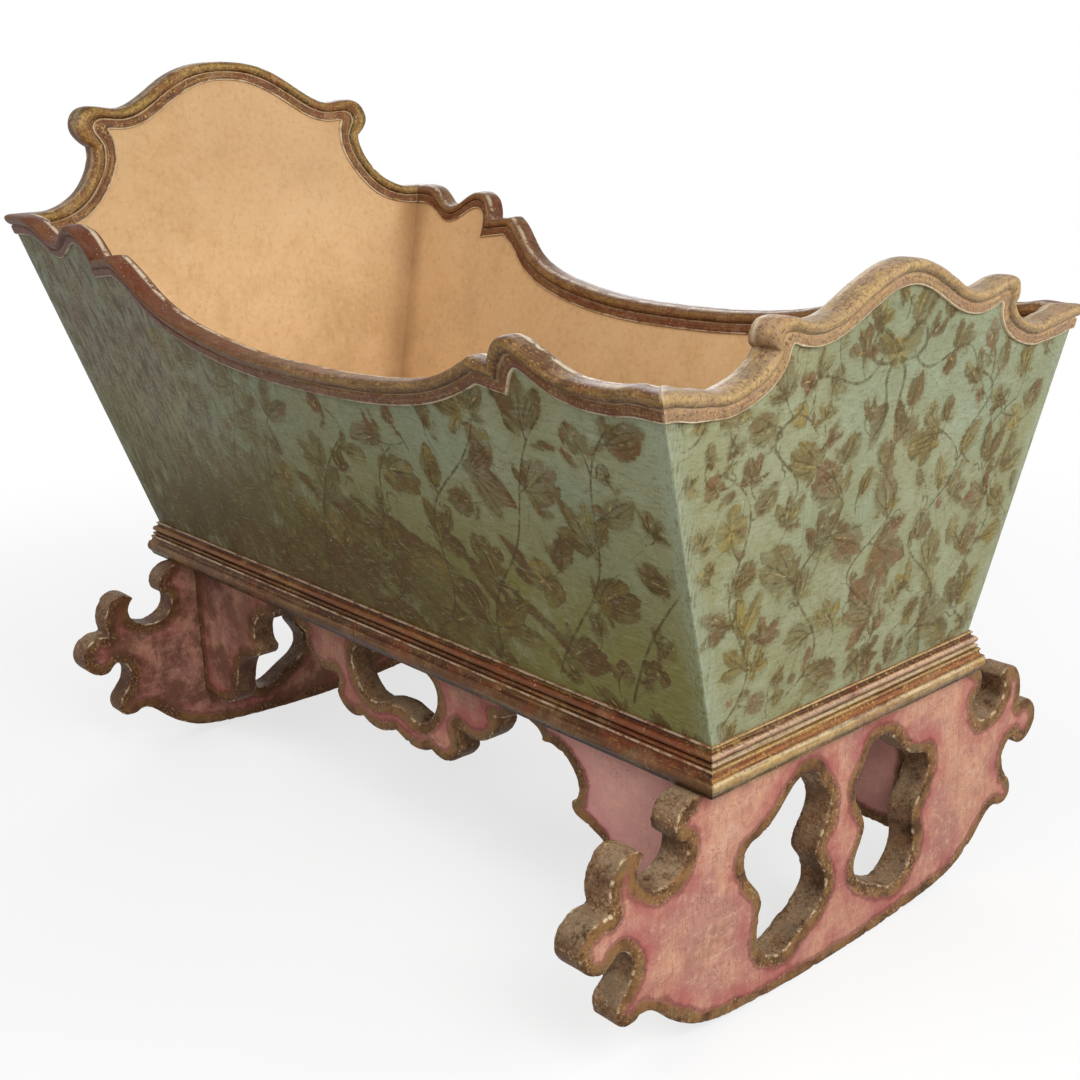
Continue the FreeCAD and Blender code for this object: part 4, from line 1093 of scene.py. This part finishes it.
SIDE_EDGE_FOOT = (
    (0.593, 0.012, 0.00, -1.00, 0), (0.683, 0.175, 0.05, -0.98, 0), (0.742, 0.475, 0.15, -0.93, 0),
    (0.771, 0.750, 0.20, -0.93, 0), (0.796, 1.050, 0.15, -1.00, 1), (0.819, 0.950, 0.65, -1.00, 1),
    (0.825, 1.250, 0.85, -0.78, 0), (0.843, 1.575, 0.50, -1.07, 0), (0.860, 1.450, 0.17, -1.05, 0),
    (0.878, 1.200, 0.20, -1.05, 0), (0.899, 0.975, 0.33, -0.97, 0), (0.929, 0.910, 0.28, -0.95, 0),
    (0.955, 0.950, 0.10, -0.97, 0))
# Half of the rim's section: depth from the board's outer face, share from top edge to lower border.
RIM_HALF = (
    (-1.9, 1.000), (-2.5, 0.985), (-2.70, 0.930), (-2.80, 0.850), (-2.80, 0.760), (-2.75, 0.680),
    (-2.6, 0.625), (-2.2, 0.600), (-1.5, 0.580), (-1.1, 0.562), (-1.2, 0.545), (-2.1, 0.525),
    (-3.2, 0.500), (-4.1, 0.455), (-4.8, 0.390), (-5.2, 0.320), (-5.2, 0.250), (-4.8, 0.180),
    (-4.0, 0.120), (-2.6, 0.070), (-0.6, 0.035), (2.2, 0.013), (5.5, 0.003))
RIM_SLOT = ((BOARD, 1.0), (BOARD, 0.31), (0.0, 0.31), (0.0, 1.0))
RIM_SECTION = np.array(
    RIM_HALF + ((BOARD / 2, 0.0),) + tuple((BOARD - d, s) for d, s in RIM_HALF[::-1]) + RIM_SLOT)
GROOVE_LINE, BORDER_LINE = 0.565, 0.985


def end_rows(edge, crest, corner, dip):
    """Rows along an end board's top edge: along, height, way to the lower border, 1 where sharp."""
    reach = end_corner(corner, 0)
    half = [(share * reach, corner + rise * (crest - corner), *rest) for share, rise, *rest in edge]
    half += [(reach - CORNER_LEVEL * k, corner - dip * k * k, 0, -1, k == 0) for k in (1, 0.5, 0)]
    return [(-along, height, -way, up, sharp) for along, height, way, up, sharp in half[:0:-1]] + half


def side_rows():
    """The same rows along a side board's top edge, from the head to the foot."""
    first, last = head_corner(HEAD_CORNER, 0), foot_corner(FOOT_CORNER, 0)
    rows = [(first + CORNER_LEVEL * k, HEAD_CORNER, 0, -1, k == 0) for k in (0, 0.5, 1)]
    for edge, corner in ((SIDE_EDGE_HEAD, HEAD_CORNER), (SIDE_EDGE_FOOT, FOOT_CORNER)):
        rows += [(first + share * (last - first), SIDE_SAG + rise * (corner - SIDE_SAG), *rest)
                 for share, rise, *rest in edge]
    return rows + [(last - CORNER_LEVEL * k, FOOT_CORNER, 0, -1, k == 0) for k in (1, 0.5, 0)]


def rim(name, rows, place, mitres, crest, rim_shade_ends, seed):
    """The rim section along a top edge, with mitred ends and knocks, painted shade from the head end to the
    foot end (below 0 painted light), and a painted highlight at the inner crest.
    """
    rows = np.array(rows, float)
    top = rows[:, :2]
    low = top + RIM_WIDTH * rows[:, 2:4]
    steps = travelled(top, low)
    stops = np.flatnonzero(rows[:, 4])
    depth, share = RIM_SECTION.T
    rings = []
    for first, last in zip(stops[:-1], stops[1:]):
        count = max(2, int((steps[last] - steps[first]) / 2 / RIM_GRID))
        line = spline(np.hstack([top, low])[first:last + 1], steps[first:last + 1],
                      np.linspace(steps[first], steps[last], count + 1))
        along = line[:, :1] + share * (line[:, 2:3] - line[:, :1])
        height = line[:, 1:2] + share * (line[:, 3:4] - line[:, 1:2])
        for end, corner, cut in ((0, mitres[0], first == 0), (-1, mitres[1], last == len(rows) - 1)):
            if cut:
                part = np.clip(1 - np.abs(line[:, :1] - line[end, 0]) / CORNER_LEVEL, 0, 1)
                along = along + (corner(height[end], depth) - along[end]) * part
        run = place(along, height, np.broadcast_to(depth, along.shape))
        rings.append(run if last == stops[-1] else run[:-1])
    rings = np.concatenate(rings)
    flat = rings.reshape(-1, 3)
    middle = rings.mean(axis=1, keepdims=True)
    inward = middle - rings
    inward /= np.linalg.norm(inward, axis=2, keepdims=True)
    dents = smooth(value_noise(flat, 9, seed + 7), 0.55, 0.95)
    knock = (0.32 * layered_noise(flat, 13, seed) + 0.9 * dents).reshape(rings.shape[:2]) * (share < 0.99)
    knock[[0, -1]] += 0.55
    knock[:, -len(RIM_SLOT):] = 0
    verts, faces = sweep(rings + inward * knock[:, :, None])
    # Pale marks: painted highlights along the groove lip and the inner crest, rubbed gilt along the lower
    # border and at the mitred ends.
    rub_and_highlight = 0.8 * smooth(-np.abs(share - GROOVE_LINE), -0.022, 0)
    rub_and_highlight = rub_and_highlight + smooth(-np.abs(share - BORDER_LINE), -0.03, 0)
    rub_and_highlight = rub_and_highlight + crest * (depth > 14) * smooth(share, 0.050, 0.020)
    lengths = travelled(middle[:, 0])
    run = lengths[:, None] + 400 * (depth > BOARD / 2)
    ends = smooth(np.minimum(lengths, lengths[-1] - lengths), 2.2, 0.6)
    rub_and_highlight = np.clip(rub_and_highlight + 0.4 * ends[:, None] + 0.03, 0, 1)
    # Painted shade along the rim, blended from the head end's value to the foot end's; below 0 it is painted
    # light.
    rim_shade = rim_shade_ends[1] + (rim_shade_ends[0] - rim_shade_ends[1]) * smooth(verts[:, 0], 150, -250)
    numbers = {"share": np.tile(share, len(rings)), "run": run.ravel(), "rub_and_highlight": rub_and_highlight.ravel(), "rim_shade": rim_shade}
    piece(name + "_gilt", verts, faces, (rim_gilt,), name, numbers)


HEAD_ROWS = end_rows(HEAD_EDGE, HEAD_CREST, HEAD_CORNER, 0)
FOOT_ROWS = end_rows(FOOT_EDGE, FOOT_CREST, FOOT_CORNER, 4)
ACROSS, ALONG = (minus_end_corner, end_corner), (head_corner, foot_corner)
# Painted shade per rim: the foot rim painted lighter, the front rim darker towards the head end, the back rim
# evenly; the crest highlight's strength differs too.
rim("rim_head", HEAD_ROWS, head_place, ACROSS, 0.3, (0.05, 0.05), 3)
rim("rim_foot", FOOT_ROWS, foot_place, ACROSS, 0.6, (-0.34, -0.34), 4)
rim("rim_front", side_rows(), front_place, ALONG, 0.9, (0.82, 0.36), 5)
rim("rim_back", side_rows(), back_place, ALONG, 0.6, (0.60, 0.60), 6)


# Mouldings round the tub's foot

HIDDEN_EDGE, HIDDEN_BAND = 12, 0.62


def arc(out, down, wide, tall, first, last):
    """Points of part of an ellipse, from one angle to another in degrees."""
    turn = np.radians(np.linspace(first, last, 13))
    return np.stack([out + wide * np.cos(turn), down - tall * np.sin(turn)], axis=1)


def profile(runs, hidden):
    """A moulding's section. runs: points and their first and last band; hidden: the points out of sight."""
    points = np.concatenate([np.asarray(run, float) for run, first, last in runs])
    band = np.concatenate([np.linspace(first, last, len(run)) for run, first, last in runs])
    back = [point for a, b in zip(hidden[:-1], hidden[1:]) for point in divided(a, b, HIDDEN_EDGE)]
    back.append(np.array(hidden[-1]))
    band = np.concatenate([band, np.full(len(back), HIDDEN_BAND)])
    return np.concatenate([points, back]), band, len(points)


def bead_section(slope):
    """Fillet, cove, round, groove and reed, from the top down."""
    low = -BEAD_TALL
    return profile([([(2.1, 0), (2.7, -0.25), (2.9, -0.7), (2.9, -1.3)], 0, 0.08),
                    ([(2.0, -1.7), (1.6, -2.4), (1.5, -3.2), (1.8, -4.0), (2.4, -4.6)], 0.10, 0.26),
                    (arc(2.6, -8.4, 4.0, 3.7, -85, 85), 0.28, 0.68),
                    ([(2.7, -12.3), (2.7, -12.9)], 0.70, 0.74),
                    (arc(4.2, -14.7, 2.6, 1.8, -80, 80), 0.76, 0.96),
                    ([(4.3, -16.7), (4.2, low)], 0.98, 1.0)],
                   [(3.9, low), (-slope * BEAD_TALL, low), (0.0, 0.0)])


def plinth_section():
    """Fillet, cove, torus and a worn underside, from the top down."""
    low = -PLINTH_TALL
    cove = [(11.6 - 3.8 * math.cos(a), -2.4 - 5.0 * math.sin(a)) for a in np.linspace(0, math.pi / 2, 9)]
    return profile([([(7.9, 0), (8.5, -0.3), (8.7, -0.8), (8.7, -1.6)], 0, 0.08), (cove, 0.10, 0.40),
                    (arc(9.6, -14.0, 3.4, 6.2, -55, 85), 0.42, 0.92),
                    ([(10.0, -20.6), (9.6, -21.2), (9.2, -22.6), (8.6, low)], 0.94, 1.0)],
                   [(8.2, low), (PLINTH_BACK, low), (PLINTH_BACK, 0.0), (7.6, 0.0)])


def strip(name, looks, section, band, shown, top, turn, seed):
    """A moulding along one side of the tub's foot, mitred. turn: 0 front, 1 foot, 2 back, 3 head."""
    out, down = section.T
    long = turn % 2 == 0
    across, along = (size + out for size in (HALF_WIDTH, HALF_LENGTH)[::1 if long else -1])
    share = np.linspace(-1, 1, int(2 * along.mean() / BASE_GRID) + 1)[:, None]
    x, y = share * along, np.broadcast_to(-across, (len(share), len(out)))
    for step in range(turn):
        x, y = -y, x
    rings = np.stack([TUB_X + x, y, np.broadcast_to(top + down, x.shape)], axis=-1)
    flat = rings.reshape(-1, 3)
    face = np.arange(len(out)) < shown
    centre = np.array([out[face].mean() - 5, down[face].mean()])
    inward = np.zeros((len(out), 2))
    inward[face] = centre - section[face]
    inward /= np.maximum(np.linalg.norm(inward, axis=1), 1e-6)[:, None]
    dents = smooth(value_noise(flat, 8, seed + 5), 0.60, 0.95)
    knock = (0.22 * layered_noise(flat, 12, seed) + 0.8 * dents).reshape(rings.shape[:2])
    knock[[0, -1]] += 0.5
    back = ((0, 1), (-1, 0), (0, -1), (1, 0))[turn]
    way = np.stack([-back[0] * inward[:, 0], -back[1] * inward[:, 0], inward[:, 1]], axis=1)
    verts, faces = sweep(rings + way * knock[:, :, None])
    rub_and_highlight = np.zeros(len(out))
    # Pale marks on the proudest round, partly painted highlight and heavier on the short sides; a painted
    # highlight line along the long sides' top fillet.
    rub_and_highlight[face] = (0.03 if long else 0.16) * smooth(out[face], 0.75 * out[face].max(), out[face].max())
    if long:
        rub_and_highlight[:4] = 0.45
    numbers = {"share": np.tile(band, len(rings)), "rub_and_highlight": np.tile(rub_and_highlight, len(rings))}
    piece(name + "_gilt", verts, faces, (looks[turn % 2],), name, numbers)


for turn, side in enumerate(("front", "foot", "back", "head")):
    slope = (SIDE_SLOPE, FOOT_SLOPE, SIDE_SLOPE, HEAD_SLOPE)[turn]
    strip("bead_" + side, bead_gilt, *bead_section(slope), TUB_FOOT, turn, 50 + turn)
    strip("plinth_" + side, plinth_gilt, *plinth_section(), TUB_FOOT - BEAD_TALL, turn, 60 + turn)


# Rockers and aprons

SOFTENINGS = 3


def sawn_board(name, axis, face, back, grime_and_shade, seed):
    """A sawn board with worn arrises; keeps how far each point is from the outline, in millimetres."""
    flat_axes = [k for k in (0, 1, 2) if k != axis]
    found = outlines(name, lambda points: points[:, axis] - face)
    loops = [resampled(loop[:, flat_axes], STAND_EDGE) for loop in found]
    flat = np.concatenate(loops)
    triangles = np.array(tessellate_polygon([[Vector((a, b, 0)) for a, b in loop] for loop in loops]))
    verts = np.empty((2 * len(flat), 3))
    verts[:, axis] = np.repeat([face, back], len(flat))
    verts[:, flat_axes] = np.tile(flat, (2, 1))
    faces = triangles.tolist() + (triangles[:, ::-1] + len(flat)).tolist()
    start = 0
    for loop in loops:
        faces += belt(np.arange(len(loop)) + start, 0, len(flat)).tolist()
        start += len(loop)
    rough = bpy.data.meshes.new(name + "_blank")
    rough.from_pydata(verts * MM, [], faces)
    outward(rough)
    blank = placed(name + "_blank", rough)
    remesh = blank.modifiers.new("remesh", "REMESH")
    remesh.mode = "VOXEL"
    remesh.voxel_size = STAND_GRID * MM
    mesh = bpy.data.meshes.new_from_object(blank.evaluated_get(bpy.context.evaluated_depsgraph_get()))
    bpy.data.objects.remove(blank)
    bpy.data.meshes.remove(rough)
    count = len(mesh.vertices)
    spots = read(mesh.vertices, "co", 3) / MM
    edges = read(mesh.edges, "vertices", 2, np.int32)
    valence = np.bincount(edges.ravel(), minlength=count)[:, None]
    for k in range(SOFTENINGS):
        total = np.stack([np.bincount(edges[:, 0], spots[edges[:, 1], c], count)
                          + np.bincount(edges[:, 1], spots[edges[:, 0], c], count) for c in range(3)], axis=1)
        spots = 0.5 * spots + 0.5 * total / valence
    mesh.vertices.foreach_set("co", (spots * MM).ravel())
    mesh.update()
    normals = read(mesh.vertices, "normal", 3)
    edge = nearest(spots[:, flat_axes], flat[flat[:, 1] < flat[:, 1].max() - 1.5])
    wall = smooth(1 - np.abs(normals[:, axis]), 0.22, 0.62)
    side = np.minimum(np.abs(spots[:, axis] - face), np.abs(spots[:, axis] - back))
    arris = np.hypot(edge * (1 - wall), side)
    chip = 1.5 * smooth(layered_noise(spots, 11, seed), 0.12, 0.55) * smooth(arris, 4.5, 0.5)
    wave = 0.45 * layered_noise(spots, 26, seed + 3) * wall + 0.12 * value_noise(spots, 4, seed + 6)
    spots = spots - normals * (chip + wave)[:, None]
    spots[:, 2] = np.maximum(spots[:, 2], 0.0)
    faces = read(mesh.polygons, "vertices", 4, np.int32).tolist()
    bpy.data.meshes.remove(mesh)
    numbers = {"edge": edge, "wall": wall, "arris": arris, "grime_and_shade": grime_and_shade(spots[:, 0])}
    piece(name + "_painted", spots, faces, (salmon,), name, numbers)


def face_of(name, axis, highest):
    """Where a CAD node's lowest or highest face lies along an axis, in millimetres."""
    low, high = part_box(name)
    return (high if highest else low)[axis] / MM


def towards_head(x):
    """Dirt and painted shade that thicken from the foot end to the head end; below 0 the paint is painted
    lighter.
    """
    return 0.03 + 0.77 * smooth(x, 150, -380)


def lit_near_foot(x):
    """The same for the aprons, with painted light that makes them paler near the foot."""
    return towards_head(x) - 0.5 * smooth(x, 180, 320)


# Stand boards: dirt and painted shade towards the head end; the aprons also get painted light near the foot.
for name, axis, outer, grime_and_shade, seed in (
        ("rocker_head", 0, False, towards_head, 70), ("rocker_foot", 0, True, towards_head, 71),
        ("apron_front", 1, False, lit_near_foot, 72), ("apron_back", 1, True, lit_near_foot, 73)):
    sawn_board(name, axis, face_of(name, axis, outer), face_of(name, axis, not outer), grime_and_shade, seed)

# Floor planks, battens, dowels and pegs stay as the CAD model has them; the first two get eased edges.
EASE_WIDTH, EASE_ANGLE = 0.0016, math.radians(40)
for name, made in nodes.items():
    if name.startswith("floor_") or name in ("rocker_dowels", "tub_dowels", "corner_pegs"):
        made.data.materials.clear()
        made.data.materials.append(wood)
    if name.startswith("floor_"):
        weld = made.modifiers.new("weld", "WELD")
        weld.merge_threshold = 1e-5
        ease = made.modifiers.new("ease", "BEVEL")
        ease.width = EASE_WIDTH
        ease.segments = 2
        ease.angle_limit = EASE_ANGLE


# The floor, light and camera

FLOOR_REACH = 9
floor_corners = [(a * FLOOR_REACH, b * FLOOR_REACH, 0) for a, b in ((-1, -1), (1, -1), (1, 1), (-1, 1))]
floor_mesh = bpy.data.meshes.new("studio_floor")
floor_mesh.from_pydata(floor_corners, [], [(0, 1, 2, 3)])
placed("studio_floor", floor_mesh)
ground = Look("studio_floor")
seen = ground.plain_ray()
spread = ground.new("VectorMath", operation="LENGTH")
ground.feed(spread.inputs[0], ground.place)
far = ground.step(spread.outputs["Value"], 0.75, 1.9)
ground.finish(ground.mix((0.42, 0.42, 0.42, 1), (0.90, 0.90, 0.90, 1), seen), 0.9)
white = ground.new("Emission")
blend = ground.new("MixShader")
ground.feed(blend.inputs[0], ground.times(seen, ground.lift(far, 0.30, 0.70)))
ground.feed(blend.inputs[1], ground.shader.outputs[0])
ground.feed(blend.inputs[2], white.outputs[0])
ground.feed(ground.tree.nodes["Material Output"].inputs[0], blend.outputs[0])
floor_mesh.materials.append(ground.material)

world = bpy.data.worlds.new("studio")
scene.world = world
world.use_nodes = True
SKY_LIGHT, SKY_SEEN = 0.21, 1.0
sky = Nodes(world.node_tree)
background = sky.tree.nodes["Background"].inputs
background["Color"].default_value = (1, 1, 1, 1)
sky.feed(background["Strength"], sky.lift(sky.plain_ray(), SKY_SEEN - SKY_LIGHT, SKY_LIGHT))


def lamp(name, place, target, size, power):
    """A soft square lamp that faces a target, in metres and watts."""
    light = bpy.data.lights.new(name, "AREA")
    light.size = size
    light.energy = power
    made = placed(name, light)
    made.location = place
    made.rotation_euler = (Vector(target) - Vector(place)).to_track_quat("-Z", "Y").to_euler()


lamp("key", (2.6, -0.7, 2.2), (0.1, 0, 0.4), 1.6, 60)
lamp("window", (2.3, 1.9, 1.6), (0.2, 0, 0.4), 1.4, 34)
lamp("fill", (1.9, -1.9, 1.2), (0.2, 0, 0.4), 1.2, 13)
lamp("top", (-0.2, -1.7, 2.9), (0, 0, 0.3), 2.0, 33)
lamp("rear", (-2.4, 1.9, 1.5), (0, 0, 0.4), 1.6, 24)

# The camera fitted to the photograph: angles, focal length and centre in pixels, place from the tub's foot.
YAW, PITCH, ROLL = 0.856348, 0.303975, -0.027766
PICTURE, SENSOR = 1080, 36.0
FOCAL, CENTRE_X, CENTRE_Y = 1445.15, 529.9, 549.29
STATION = (1.150913, -0.966635, 0.492825)
back = Vector((math.sin(YAW) * math.cos(PITCH), -math.cos(YAW) * math.cos(PITCH), math.sin(PITCH)))
right = Vector((math.cos(YAW), math.sin(YAW), 0))
up = back.cross(right)
level = math.cos(ROLL) * right + math.sin(ROLL) * up
upright = math.cos(ROLL) * up - math.sin(ROLL) * right
camera_data = bpy.data.cameras.new("camera")
camera_data.sensor_width = SENSOR
camera_data.lens = FOCAL * SENSOR / PICTURE
camera_data.shift_x = (PICTURE / 2 - CENTRE_X) / PICTURE
camera_data.shift_y = (CENTRE_Y - PICTURE / 2) / PICTURE
camera = placed("camera", camera_data)
camera.matrix_world = Matrix((level, upright, back)).transposed().to_4x4()
camera.location = Vector(STATION) + Vector((TUB_X, 0, TUB_FOOT)) * MM
scene.camera = camera
